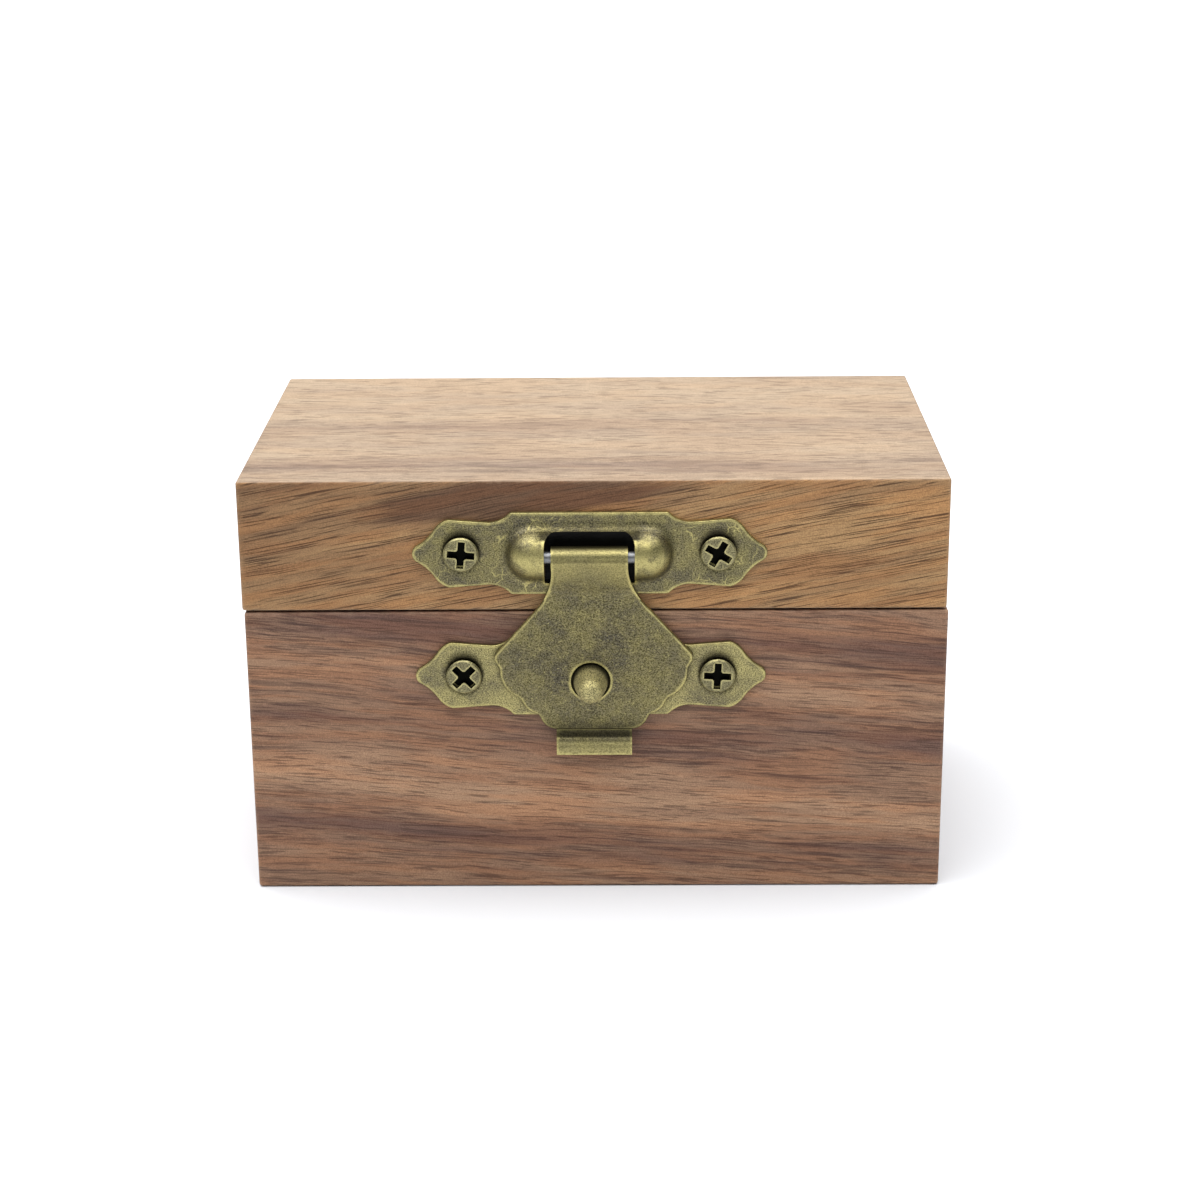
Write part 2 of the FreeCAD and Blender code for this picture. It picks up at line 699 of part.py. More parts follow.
knuckle.SideType = "Symmetric"
trim_out = f"({pin_out} + {knuckle_radius} + dim.trim_margin)"
trim_top = f"({knuckle_radius} + dim.trim_margin)"
trim = new_sketch(hasp_flap, "neck_trim", "XZ_Plane", out=trim_out)
for sign, bend in (("+", neck_hollow), ("-", -neck_hollow)):
    draw_outline(trim, [
        (f"{sign}dim.knuckle_half_width", trim_top, 0),
        (f"{sign}dim.knuckle_half_width", "-dim.neck_length", bend),
        (f"{sign}dim.neck_half_width + dim.neck_side_shift", neck_end, 0),
        (f"{sign}({half_strip} + dim.trim_margin)", neck_end, 0),
        (f"{sign}({half_strip} + dim.trim_margin)", trim_top, 0),
    ])
add_feature(hasp_flap, "Pocket", "neck_cut", trim, Length=trim_out)

# The lip seen from the side: it curves out of the flat sheet and turns down again to a straight end.
lip = new_sketch(hasp_flap, "lip", "YZ_Plane", x=f"-{flap_front}", y=lip_start, out="dim.fan_side_shift")
lip_sin = "sin(dim.lip_lean * 1 deg)"
lip_cos = "cos(dim.lip_lean * 1 deg)"
lip_bulge = turn_bulge("dim.lip_lean")
hollow_back = "(dim.lip_hollow + dim.sheet)"
bend_front = "(dim.lip_bend + dim.sheet)"
bend_x = f"(-dim.lip_hollow + (dim.lip_hollow + {bend_front}) * {lip_cos})"
bend_z = f"(-(dim.lip_hollow + {bend_front}) * {lip_sin})"
draw_outline(lip, [
    ("0", "0", -lip_bulge),
    (f"-dim.lip_hollow * (1 - {lip_cos})", f"-dim.lip_hollow * {lip_sin}", lip_bulge),
    (f"{bend_x} - {bend_front}", bend_z, 0),
    (f"{bend_x} - {bend_front}", f"{bend_z} - dim.lip_end", 0),
    (f"{bend_x} - dim.lip_bend", f"{bend_z} - dim.lip_end", 0),
    (f"{bend_x} - dim.lip_bend", bend_z, -lip_bulge),
    (f"-dim.lip_hollow + {hollow_back} * {lip_cos}", f"-{hollow_back} * {lip_sin}", lip_bulge),
    ("dim.sheet", "0", 0),
])
finger_lip = add_feature(hasp_flap, "Pad", "finger_lip", lip, Length=f"2 * ({lip_across})")
finger_lip.SideType = "Symmetric"
eye = new_sketch(hasp_flap, "eye", "XZ_Plane", out=flap_front)
draw_circle(eye, "0", f"-{hole_drop}", "dim.post_collar_radius + dim.flap_hole_clear")
add_feature(hasp_flap, "Pocket", "eye_cut", eye, Length="dim.sheet")
place(hasp_flap, "dim.hasp_shift", front_y, upper_plate_z)


# Catch post: a collar on the plate, a tapered neck and a domed end, riveted flush behind

hasp_catch_post = new_body("hasp_catch_post")
post = new_sketch(hasp_catch_post, "profile", "XY_Plane")
collar_end = f"({flap_front} + dim.post_collar_proud)"
taper_end = f"({collar_end} + dim.post_taper)"
draw_outline(post, [
    ("0", "0", 0),
    ("0", f"-{taper_end} - dim.post_dome", cap_bulge("dim.post_dome", "dim.post_neck_radius")),
    ("dim.post_neck_radius", f"-{taper_end}", 0),
    ("dim.post_collar_radius", f"-{collar_end}", 0),
    ("dim.post_collar_radius", "-dim.sheet", 0),
    ("dim.post_tail_radius", "-dim.sheet", 0),
    ("dim.post_tail_radius", "0", 0),
])
add_turned(hasp_catch_post, "Revolution", "turning", post, "V_Axis")
place(hasp_catch_post, "dim.hasp_shift", front_y, post_z)


# Screws: one pattern of each size, set in its holes with the cross slots as they came to rest


def screw_pattern(kind, seat):
    """A countersunk screw with its head outside the wood face at y = 0 and its point at +Y."""
    body = new_body(f"{kind}_pattern")
    profile = new_sketch(body, "profile", "XY_Plane")
    head = f"dim.{kind}_head"
    rim = f"dim.{kind}_rim"
    shank = f"dim.{kind}_shank"
    top = f"({seat} + dim.{kind}_proud)"
    band_end = f"({top} - {rim} - dim.{kind}_band)"
    draw_outline(profile, [
        ("0", screw_depth, 0),
        ("0", f"-{top}", 0),
        (f"{head} - {rim}", f"-{top}", 0),
        (head, f"-{top} + {rim}", 0),
        (head, f"-{band_end}", 0),
        (shank, "0", 0),
        (shank, f"{screw_depth} - dim.screw_point", 0),
    ])
    add_turned(body, "Revolution", "turning", profile, "V_Axis")
    cross = new_sketch(body, "cross", "XZ_Plane", out=top)
    reach = f"dim.{kind}_slot_reach"
    half = f"dim.{kind}_slot_half"
    inner = f"({half} + dim.{kind}_slot_round)"
    quarter = [(reach, half, 0), (inner, half, -quarter_turn), (half, inner, 0), (half, reach, 0)]
    upper = quarter + reflected(quarter, flip_x=True)
    draw_outline(cross, upper + reflected(upper, flip_y=True))
    add_feature(body, "Pocket", "cross_slot", cross, Length=f"dim.{kind}_slot_deep")
    return body


def screw_group(label, pattern, spots, face, cross_angles, from_behind=False):
    group = doc.addObject("Part::Compound", label)
    screws = []
    for (x, z), angle in zip(spots, cross_angles):
        screw = doc.addObject("App::Link", f"{label}_{len(screws) + 1}")
        screw.LinkedObject = pattern
        turn = Rotation(Vector(0, 1, 0), angle)
        if from_behind:
            turn = turned_round.multiply(turn)
        place(screw, x, face, z, turn=turn)
        screws.append(screw)
    group.Links = screws
    return group


hasp_screw = screw_pattern("hasp_screw", "dim.sheet")
hinge_screw = screw_pattern("hinge_screw", "dim.hinge_sheet")
upper_plate_screws = screw_group(
    "upper_plate_screws", hasp_screw, hasp_spots(upper_plate_z), front_y, (30, 5))
catch_plate_screws = screw_group(
    "catch_plate_screws", hasp_screw, hasp_spots(catch_plate_z), front_y, (3, 45))
hinge_base_screws = screw_group(
    "hinge_base_screws", hinge_screw, hinge_spots("-"), back_y, (12, 70, 38, 55), from_behind=True)
hinge_lid_screws = screw_group(
    "hinge_lid_screws", hinge_screw, hinge_spots("+"), back_y, (81, 25, 8, 47), from_behind=True)


# Butt hinges: the lid leaf holds the middle knuckle and the base leaf the two outer ones


def hinge_leaf(label, holds_middle, x, turn):
    """A leaf in its own frame: hinge axis along X, leaf rising along Z, outside towards -Y."""
    body = new_body(label)
    outline = new_sketch(body, "outline", "XZ_Plane")
    half = "dim.hinge_half_width"
    notch = f"({barrel_radius} + dim.hinge_notch_room)"
    inner = "dim.hinge_knuckle_half"
    outer = "(dim.hinge_knuckle_half + dim.hinge_knuckle_gap)"
    far_end = [
        (half, "dim.hinge_reach - dim.hinge_corner", quarter_turn),
        (f"{half} - dim.hinge_corner", "dim.hinge_reach", 0),
    ]
    if holds_middle:
        near_end_corners = [(inner, "0", 0), (inner, notch, 0), (half, notch, 0)]
    else:
        near_end_corners = [(outer, notch, 0), (outer, "0", 0), (half, "0", 0)]
    right = near_end_corners + far_end
    draw_outline(outline, right + reflected(right, flip_x=True))
    add_feature(body, "Pad", "leaf", outline, Length="dim.hinge_sheet")
    ring_out = "0" if holds_middle else outer
    ring = new_sketch(body, "ring", "YZ_Plane", out=ring_out)
    draw_circle(ring, f"-{hinge_out}", "0", barrel_radius)
    draw_circle(ring, f"-{hinge_out}", "0", "dim.hinge_pin_radius + dim.pin_clear")
    if holds_middle:
        barrel = add_feature(body, "Pad", "barrel", ring, Length=f"2 * {inner}")
        barrel.SideType = "Symmetric"
    else:
        barrel = add_feature(body, "Pad", "barrel", ring, Length=f"{half} - {outer}")
        add_mirrored(body, "barrel_pair", [barrel])
    sink = new_sketch(body, "sink", "XY_Plane", x="dim.hinge_screw_at", out="dim.hinge_screw_rise")
    hole = "(dim.hinge_screw_shank + dim.screw_clear)"
    mouth = "(dim.hinge_screw_head + dim.hinge_sink_room)"
    draw_outline(sink, [
        ("0", "0", 0), (hole, "0", 0), (mouth, "-dim.hinge_sheet", 0), ("0", "-dim.hinge_sheet", 0)])
    sunk = add_turned(body, "Groove", "sink_cut", sink, "V_Axis")
    add_mirrored(body, "sink_pair", [sunk])
    place(body, x, back_y, hinge_z, turn=turn)
    return body


def hinge_pin(label, x):
    body = new_body(label)
    profile = new_sketch(body, "profile", "XY_Plane")
    half = "dim.hinge_half_width"
    right = [
        (f"{half} + dim.hinge_pin_dome", "0", -cap_bulge("dim.hinge_pin_dome", "dim.hinge_pin_head")),
        (half, "-dim.hinge_pin_head", 0),
        (half, "-dim.hinge_pin_radius", 0),
    ]
    draw_outline(profile, right + reflected(right, flip_x=True))
    add_turned(body, "Revolution", "turning", profile, "H_Axis")
    place(body, x, f"{back_y} + {hinge_out}", hinge_z)
    return body


hinge_pieces = []
for side, sign in (("left", "-"), ("right", "+")):
    hinge_x = f"{sign}{hinge_spread}"
    hinge_pieces.append(hinge_leaf(f"{side}_hinge_base_leaf", False, hinge_x, half_over))
    hinge_pieces.append(hinge_leaf(f"{side}_hinge_lid_leaf", True, hinge_x, turned_round))
    hinge_pieces.append(hinge_pin(f"{side}_hinge_pin", hinge_x))

nodes = [
    base_box, lid_box, base_lining_wall, base_lining_floor, lid_lining_wall, lid_pad, watch_pillow,
    hasp_upper_plate, hasp_pin, hasp_flap, hasp_catch_plate, hasp_catch_post,
    upper_plate_screws, catch_plate_screws, hinge_base_screws, hinge_lid_screws, *hinge_pieces,
]

# Every object has to be sound, and every cut has to take something away, before anything is written.
doc.recompute()
for item in doc.Objects:
    if {"Invalid", "Error"} & set(item.State):
        raise RuntimeError(f"{item.Label} failed: {item.State}")
    if item.TypeId in ("PartDesign::Pocket", "PartDesign::Groove"):
        if item.Shape.Volume >= item.BaseFeature.Shape.Volume:
            raise RuntimeError(f"{item.Label} cuts nothing")
for node in nodes:
    if node.Shape.isNull() or not node.Shape.isValid():
        raise RuntimeError(f"{node.Label} has no sound shape")

os.makedirs("parts", exist_ok=True)
for node in nodes:
    node.Shape.exportStep(f"parts/{node.Label}.step")
    print(f"{node.Label}: {len(node.Shape.Solids)} solid(s), {node.Shape.Volume:.1f} cubic mm")
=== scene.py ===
import math

import bmesh
import bpy
from mathutils import Euler, Matrix, Vector
from mathutils.noise import noise as fabricNoise


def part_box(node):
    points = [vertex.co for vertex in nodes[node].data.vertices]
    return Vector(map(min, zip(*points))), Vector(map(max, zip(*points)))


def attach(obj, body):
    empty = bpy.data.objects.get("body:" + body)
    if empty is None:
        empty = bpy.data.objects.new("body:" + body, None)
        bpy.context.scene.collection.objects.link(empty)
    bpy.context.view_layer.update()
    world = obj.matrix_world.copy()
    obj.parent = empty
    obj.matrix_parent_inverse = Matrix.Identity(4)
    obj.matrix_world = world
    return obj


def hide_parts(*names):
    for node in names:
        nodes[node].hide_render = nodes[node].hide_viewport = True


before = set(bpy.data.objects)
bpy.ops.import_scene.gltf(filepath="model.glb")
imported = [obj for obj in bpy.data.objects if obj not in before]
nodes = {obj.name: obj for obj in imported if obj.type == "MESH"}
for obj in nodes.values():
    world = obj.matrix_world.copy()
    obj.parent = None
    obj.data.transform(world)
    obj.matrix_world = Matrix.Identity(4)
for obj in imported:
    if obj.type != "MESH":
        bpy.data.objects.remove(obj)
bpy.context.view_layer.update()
print("frame loaded:", len(nodes), "nodes")

mm = 0.001


# Camera, floor and light

cameraView = {
    "lens": 75.31,
    "sensor": 36.0,
    "nearest": 10.0,  # mm
    "place": (4.536, -367.261, 158.427),  # mm
    "turn": (-18.7075, 0.4446, 0.5182),  # degrees away from looking level along +Y
}


def makeCamera():
    data = bpy.data.cameras.new("camera")
    data.lens = cameraView["lens"]
    data.sensor_width = cameraView["sensor"]
    data.clip_start = cameraView["nearest"] * mm
    camera = bpy.data.objects.new("camera", data)
    level = Euler((math.pi / 2, 0, 0)).to_matrix()
    turn = Euler([math.radians(angle) for angle in cameraView["turn"]], "XYZ").to_matrix()
    camera.matrix_world = Matrix.LocRotScale(Vector(cameraView["place"]) * mm, turn @ level, None)
    bpy.context.scene.collection.objects.link(camera)
    bpy.context.scene.camera = camera


studio = {
    "floorHalf": 20.0,  # m
    "floorDrop": 0.1 * mm,
    "paper": (0.742, 0.75, 0.768, 1),
    "paperRoughness": 0.9,
    "skyColour": (0.80, 0.90, 1.0, 1),
    "skyStrength": 0.2,
    "overhead": 5.4,
    "overheadAngle": 84,  # degrees across, so the shadows stay soft
    "overheadTurn": (2, -6, 0),  # from a little in front and to the left
}


def makeStudio():
    scene = bpy.context.scene
    scene.view_settings.view_transform = "Standard"
    world = bpy.data.worlds.new("studio")
    scene.world = world
    world.use_nodes = True
    sky = world.node_tree.nodes["Background"]
    sky.inputs["Color"].default_value = studio["skyColour"]
    sky.inputs["Strength"].default_value = studio["skyStrength"]

    sheet = bmesh.new()
    bmesh.ops.create_grid(sheet, x_segments=1, y_segments=1, size=studio["floorHalf"])
    bmesh.ops.translate(sheet, verts=sheet.verts, vec=(0, 0, -studio["floorDrop"]))
    mesh = bpy.data.meshes.new("studioFloor")
    sheet.to_mesh(mesh)
    sheet.free()
    floor = bpy.data.objects.new("studioFloor", mesh)
    scene.collection.objects.link(floor)
    paper = bpy.data.materials.new("studioPaper")
    paper.use_nodes = True
    surface = paper.node_tree.nodes["Principled BSDF"]
    surface.inputs["Base Color"].default_value = studio["paper"]
    surface.inputs["Roughness"].default_value = studio["paperRoughness"]
    surface.inputs["Specular IOR Level"].default_value = 0.0
    mesh.materials.append(paper)

    lamp = bpy.data.lights.new("overhead", "SUN")
    lamp.energy = studio["overhead"]
    lamp.angle = math.radians(studio["overheadAngle"])
    overhead = bpy.data.objects.new("overhead", lamp)
    overhead.rotation_euler = [math.radians(angle) for angle in studio["overheadTurn"]]
    scene.collection.objects.link(overhead)


makeCamera()
makeStudio()
print("camera, floor and light set")


# Small helpers for node trees

noiseMiddle = 0.5
noiseSpread = (0.3, 0.7)  # most values of a noise lie between these


def fill(tree, socket, value):
    if isinstance(value, bpy.types.NodeSocket):
        tree.links.new(value, socket)
    elif value is not None:
        socket.default_value = value


def addNode(tree, kind, inputs=None, **settings):
    node = tree.nodes.new("ShaderNode" + kind)
    for name, value in settings.items():
        setattr(node, name, value)
    for key, value in (inputs or {}).items():
        fill(tree, node.inputs[key], value)
    return node


def calc(tree, operation, first, second=None, third=None):
    node = addNode(tree, "Math", operation=operation)
    for socket, value in zip(node.inputs, (first, second, third)):
        fill(tree, socket, value)
    return node.outputs[0]


def vectorCalc(tree, operation, first, second=None, scale=None):
    node = addNode(tree, "VectorMath", {0: first, 1: second}, operation=operation)
    if scale is not None:
        fill(tree, node.inputs["Scale"], scale)
    return node.outputs["Value" if operation == "LENGTH" else "Vector"]


def mask(tree, value, low, high, toLow=0.0, toHigh=1.0):
    inputs = {"Value": value, "From Min": low, "From Max": high, "To Min": toLow, "To Max": toHigh}
    return addNode(tree, "MapRange", inputs, interpolation_type="SMOOTHSTEP").outputs[0]


def spread(tree, value, toLow=0.0, toHigh=1.0):
    return mask(tree, value, *noiseSpread, toLow, toHigh)


def mix(tree, factor, first, second):
    node = addNode(tree, "Mix", data_type="RGBA")
    for index, value in zip((0, 6, 7), (factor, first, second)):
        fill(tree, node.inputs[index], value)
    return node.outputs[2]


def shade(tree, colour, amount):
    node = addNode(tree, "VectorMath", {0: colour, "Scale": amount}, operation="SCALE")
    return node.outputs["Vector"]


def noise(tree, vector, size, detail=2.0, roughness=0.5):
    if isinstance(size, float):
        size = (size, size, size)
    small = vectorCalc(tree, "DIVIDE", vector, size)
    inputs = {"Vector": small, "Scale": 1.0, "Detail": detail, "Roughness": roughness}
    return addNode(tree, "TexNoise", inputs).outputs


def patches(tree, vector, made, shown):
    return mask(tree, noise(tree, vector, *made)[0], *shown)


def ramp(tree, value, stops):
    node = addNode(tree, "ValToRGB", {0: value})
    points = node.color_ramp.elements
    while len(points) < len(stops):
        points.new(0.5)
    for point, (position, grey) in zip(points, stops):
        point.position = position
        point.color = (grey, grey, grey, 1)
    return node.outputs["Color"]


def newGroup(name, inputs, outputs):
    group = bpy.data.node_groups.new(name, "ShaderNodeTree")
    for label, (kind, value) in inputs.items():
        socket = group.interface.new_socket(label, in_out="INPUT", socket_type="NodeSocket" + kind)
        if value is not None:
            socket.default_value = value
    for label, kind in outputs.items():
        group.interface.new_socket(label, in_out="OUTPUT", socket_type="NodeSocket" + kind)
    return group, group.nodes.new("NodeGroupInput").outputs, group.nodes.new("NodeGroupOutput").inputs


def useGroup(tree, group, **values):
    node = addNode(tree, "Group", node_tree=group)
    for label, value in values.items():
        fill(tree, node.inputs[label], value)
    return node.outputs


def newMaterial(name, **constants):
    material = bpy.data.materials.new(name)
    material.use_nodes = True
    tree = material.node_tree
    surface = tree.nodes["Principled BSDF"]
    for socket, value in constants.items():
        surface.inputs[socket.replace("_", " ")].default_value = value
    place = addNode(tree, "TexCoord").outputs["Object"]
    return material, tree, surface, vectorCalc(tree, "SCALE", place, scale=1 / mm)


def finishSurface(tree, surface, looks, bumpStrength, bumpDepth):
    tree.links.new(looks["Color"], surface.inputs["Base Color"])
    tree.links.new(looks["Roughness"], surface.inputs["Roughness"])
    bump = addNode(tree, "Bump", {"Strength": bumpStrength, "Distance": bumpDepth * mm,
                                  "Height": looks["Height"]})
    tree.links.new(bump.outputs["Normal"], surface.inputs["Normal"])


def dress(material, *names):
    for name in names:
        nodes[name].data.materials.clear()
        nodes[name].data.materials.append(material)


# Effects that several finishes share

rubbing = {"patchDetail": 3.0, "ragged": 0.08, "from": 0.08, "to": 0.3, "rays": 8}
gathering = {"tight": 0.45, "open": 0.95, "rays": 8}


def makeEdgeRub():
    inputs = {"Vector": ("Vector", None), "Reach": ("Float", 0.5), "Patch": ("Float", 1.5)}
    group, given, out = newGroup("edgeRub", inputs, {"Mask": "Float"})
    reach = calc(group, "MULTIPLY", given["Reach"], mm)
    inside = addNode(group, "AmbientOcclusion", {"Distance": reach}, inside=True, only_local=True,
                     samples=rubbing["rays"])
    edge = calc(group, "SUBTRACT", 1.0, inside.outputs["AO"])
    patch = noise(group, given["Vector"], given["Patch"], rubbing["patchDetail"])[0]
    worn = calc(group, "ADD", edge, spread(group, patch, -rubbing["ragged"], rubbing["ragged"]))
    fill(group, out["Mask"], mask(group, worn, rubbing["from"], rubbing["to"]))
    return group


# Occlusion darkening: with onlyOwn it is patina in the part's hollows; without it, it is painted contact
# shadow.
def makeCavityGrime(name, onlyOwn):
    group, given, out = newGroup(name, {"Reach": ("Float", 1.0)}, {"Mask": "Float"})
    reach = calc(group, "MULTIPLY", given["Reach"], mm)
    around = addNode(group, "AmbientOcclusion", {"Distance": reach}, only_local=onlyOwn,
                     samples=gathering["rays"])
    light = around.outputs["AO"]
    fill(group, out["Mask"], mask(group, light, gathering["tight"], gathering["open"], 1.0, 0.0))
    return group


edgeRub = makeEdgeRub()
cavityGrime = makeCavityGrime("cavityGrime", True)
# painted shadow: darkens the catch plate where the flap and other parts stand close over it
contactGrime = makeCavityGrime("contactGrime", False)


# Walnut

# How far the grain swings aside, in mm, by swings of these sizes along x, y and z.
grainSwings = (((48.0, 15.0, 13.0), 3.2), ((10.0, 4.0, 3.2), 0.7))
swingDetail = 1.0
poreDetail = 1.0
# Each feature's size in mm, along x, y and z where it differs, then its noise's detail and roughness.
figure = {
    "growth": ((60.0, 1.5, 30.0), 3.0),
    "cloud": ((26.0, 7.0, 4.5), 3.0),
    "broadStreak": ((20.0, 2.2, 0.62), 4.0, 0.65),
    "thinStreak": ((11.0, 1.0, 0.26), 2.0, 0.6),
    "poreCrowd": ((12.0, 3.0, 2.0), 1.0),
    "shortPore": ((2.2, 0.3, 0.15), 1.0),
    "ruddy": ((17.0, 5.0, 1.7), 3.0),
    "fibre": ((2.4, 0.12, 0.085), 2.0),
    "fleck": (0.16, 1.0),
}
# Values of the tone, or of a feature's noise, at which it begins to show and at which it shows fully.
figureRange = {
    "mid": (0.05, 0.5),
    "deep": (0.45, 0.95),
    "broadStreak": (0.53, 0.65),
    "thinStreak": (0.56, 0.67),
    "pore": (0.63, 0.72),
    "shortPore": (0.62, 0.74),
    "ruddy": (0.4, 0.62),
}
# How strongly each feature of the figure shows.
figureShare = {
    "growth": 1.0,
    "cloud": 0.8,
    "thinStreak": 0.85,
    "streakTone": 0.6,
    "streakByTone": (0.1, 0.7, 0.12, 1.0),  # two tones, and the share of the streaks that shows at each
    "poreCrowd": 0.16,
    "shortPore": 0.45,
    "poreTone": 0.5,
    "poreDull": 0.2,
    "fibreTone": (0.6, 0.7),  # how fast it brightens, and from where
    "fibreDull": (0.44, 0.54),
    "fibreBump": 0.25,
    "fleckTone": (0.2, 0.8, 0.78, 1.22),  # two values of its noise, and the brightness at each
}


def makeGrainFlow():
    inputs = {"Vector": ("Vector", None), "Tilt": ("Float", 0.0), "Wave": ("Float", 1.0),
              "Pith": ("Vector", (0.0, 40.0, -60.0))}
    group, given, out = newGroup("grainFlow", inputs, {"Vector": "Vector", "Ring": "Float"})
    turned = addNode(group, "VectorRotate", {"Vector": given["Vector"], "Angle": given["Tilt"]},
                     rotation_type="Y_AXIS").outputs[0]
    across = (0.0, 1.0, 1.0)
    flowing = turned
    for size, reach in grainSwings:
        swing = noise(group, turned, size, swingDetail)["Color"]
        swing = vectorCalc(group, "SUBTRACT", swing, [noiseMiddle] * 3)
        swing = vectorCalc(group, "MULTIPLY", swing, across)
        swing = vectorCalc(group, "SCALE", swing, scale=calc(group, "MULTIPLY", given["Wave"], reach))
        flowing = vectorCalc(group, "ADD", flowing, swing)
    fill(group, out["Vector"], flowing)
    fromPith = vectorCalc(group, "MULTIPLY", vectorCalc(group, "SUBTRACT", flowing, given["Pith"]), across)
    fill(group, out["Ring"], vectorCalc(group, "LENGTH", fromPith))
    return group


def makeWalnutGrain():
    inputs = {"Vector": ("Vector", None), "Ring": ("Float", 0.0), "Band": ("Float", 0.5),
              "Pale": ("Color", None), "Mid": ("Color", None), "Deep": ("Color", None),
              "Streaks": ("Float", 1.0), "Pores": ("Float", 1.0), "PoreSize": ("Vector", (4.5, 0.4, 0.2)),
              "Ruddy": ("Vector", (1.0, 1.0, 1.0))}
    outputs = {"Color": "Color", "Roughness": "Float", "Height": "Float"}
    group, given, out = newGroup("walnutGrain", inputs, outputs)
    place = given["Vector"]
    along = addNode(group, "SeparateXYZ", {0: place}).outputs
    layer = addNode(group, "CombineXYZ", {0: along[0], 1: given["Ring"], 2: along[1]}).outputs[0]
    tone = given["Band"]
    for feature, vector in (("growth", layer), ("cloud", place)):
        swing = calc(group, "SUBTRACT", noise(group, vector, *figure[feature])[0], noiseMiddle)
        tone = calc(group, "MULTIPLY_ADD", swing, figureShare[feature], tone)
    colour = mix(group, mask(group, tone, *figureRange["mid"]), given["Pale"], given["Mid"])
    colour = mix(group, mask(group, tone, *figureRange["deep"]), colour, given["Deep"])

    broad = patches(group, place, figure["broadStreak"], figureRange["broadStreak"])
    thin = patches(group, place, figure["thinStreak"], figureRange["thinStreak"])
    streak = calc(group, "MAXIMUM", broad, calc(group, "MULTIPLY", thin, figureShare["thinStreak"]))
    streak = calc(group, "MULTIPLY", streak, mask(group, tone, *figureShare["streakByTone"]))
    streak = calc(group, "MULTIPLY", streak, given["Streaks"])
    colour = mix(group, streak, colour, shade(group, given["Deep"], figureShare["streakTone"]))

    crowd = noise(group, place, *figure["poreCrowd"])[0]
    pore = noise(group, place, given["PoreSize"], poreDetail)[0]
    pore = calc(group, "MULTIPLY_ADD", crowd, figureShare["poreCrowd"], pore)
    pore = mask(group, pore, *figureRange["pore"])
    short = patches(group, place, figure["shortPore"], figureRange["shortPore"])
    pore = calc(group, "MAXIMUM", pore, calc(group, "MULTIPLY", short, figureShare["shortPore"]))
    pore = calc(group, "MULTIPLY", pore, given["Pores"])
    colour = mix(group, pore, colour, shade(group, given["Deep"], figureShare["poreTone"]))

    ruddy = patches(group, place, figure["ruddy"], figureRange["ruddy"])
    colour = mix(group, ruddy, colour, vectorCalc(group, "MULTIPLY", colour, given["Ruddy"]))
    fibre = noise(group, place, *figure["fibre"])[0]
    fleck = noise(group, place, *figure["fleck"])[0]
    bright = calc(group, "MULTIPLY_ADD", fibre, *figureShare["fibreTone"])
    bright = calc(group, "MULTIPLY", bright, mask(group, fleck, *figureShare["fleckTone"]))
    fill(group, out["Color"], shade(group, colour, bright))
    dull = spread(group, fibre, *figureShare["fibreDull"])
    fill(group, out["Roughness"], calc(group, "MULTIPLY_ADD", pore, figureShare["poreDull"], dull))
    raised = calc(group, "MULTIPLY", fibre, figureShare["fibreBump"])
    fill(group, out["Height"], calc(group, "SUBTRACT", raised, pore))
    return group


grainFlow = makeGrainFlow()
walnutGrain = makeWalnutGrain()

boxSoft = 0.4  # mm over which a painted box fades out
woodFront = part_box("base_box")[0][1] / mm
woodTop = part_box("lid_box")[1][2] / mm
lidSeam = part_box("lid_box")[0][2] / mm
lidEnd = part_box("lid_box")[1][0] / mm
# Worn arrises: paler edges and chips, partly wear and partly a painted highlight along the edge.
edgeWear = {"reach": 0.4, "patch": 1.3, "strength": 0.5}
oiled = {"shine": 0.18, "bump": 0.25, "bumpDepth": 0.05}

baseBoard = {
    "pale": (0.395, 0.238, 0.142, 1),
    "mid": (0.275, 0.158, 0.097, 1),
    "deep": (0.15, 0.083, 0.062, 1),
    "worn": (0.50, 0.33, 0.21, 1),
    "tilt": -4.0,
    "wave": 1.0,
    "pith": (0.0, 55.0, -70.0),
    # darkness of the figure at heights up the front face
    "bands": ((0, 0.4), (2.5, 0.36), (5, 0.64), (7.5, 0.74), (10, 0.48), (12.5, 0.2), (18, 0.16),
              (20.5, 0.5), (24, 0.74), (28, 0.6), (31, 0.3), (33, 0.34), (36, 0.62), (39, 0.85), (42, 0.5)),
    "streaks": 0.95,
    "pores": 0.6,
    "poreSize": (5.0, 0.4, 0.2),
    "ruddy": (1.08, 0.95, 0.86),
}
lidBoard = {
    "pale": (0.392, 0.232, 0.104, 1),
    "mid": (0.292, 0.168, 0.08, 1),
    "deep": (0.143, 0.076, 0.042, 1),
    "worn": (0.52, 0.36, 0.23, 1),
    "tilt": 11.0,
    "wave": 0.65,
    "pith": (0.0, 60.0, -40.0),
    "bands": ((36, 0.3), (46, 0.28), (52, 0.34), (57, 0.4), (61, 0.5), (65, 0.45), (71, 0.5)),
    "streaks": 0.45,
    "pores": 0.88,
    "poreSize": (8.0, 0.4, 0.14),
    "ruddy": (1.07, 0.95, 0.86),
    # darker at the left end than at the right
    "ends": (-50.0, 50.0, 0.06, -0.12),
    "endSkin": 0.5,
    "endPores": 0.3,  # the pores show as dots on the end grain, so they are fainter there
    # darker over the hasp, partly the wood's heart and partly painted shade, at x and z with its half width,
    # half height and slope
    "heart": (-9.0, 59.6, 27.0, 4.6, 0.1),
    "heartDepth": 0.62,
    # painted shade: near-black wood behind the window of the hasp, where only shade falls, from x and z to x
    # and z
    "behindHasp": (-7.4, 46.4, 5.8, 55.8),
    "behindDepth": (2.5, 1.5),  # behind the front face, where the dark wood ends and starts
    "soot": (0.003, 0.002, 0.0015, 1),
}
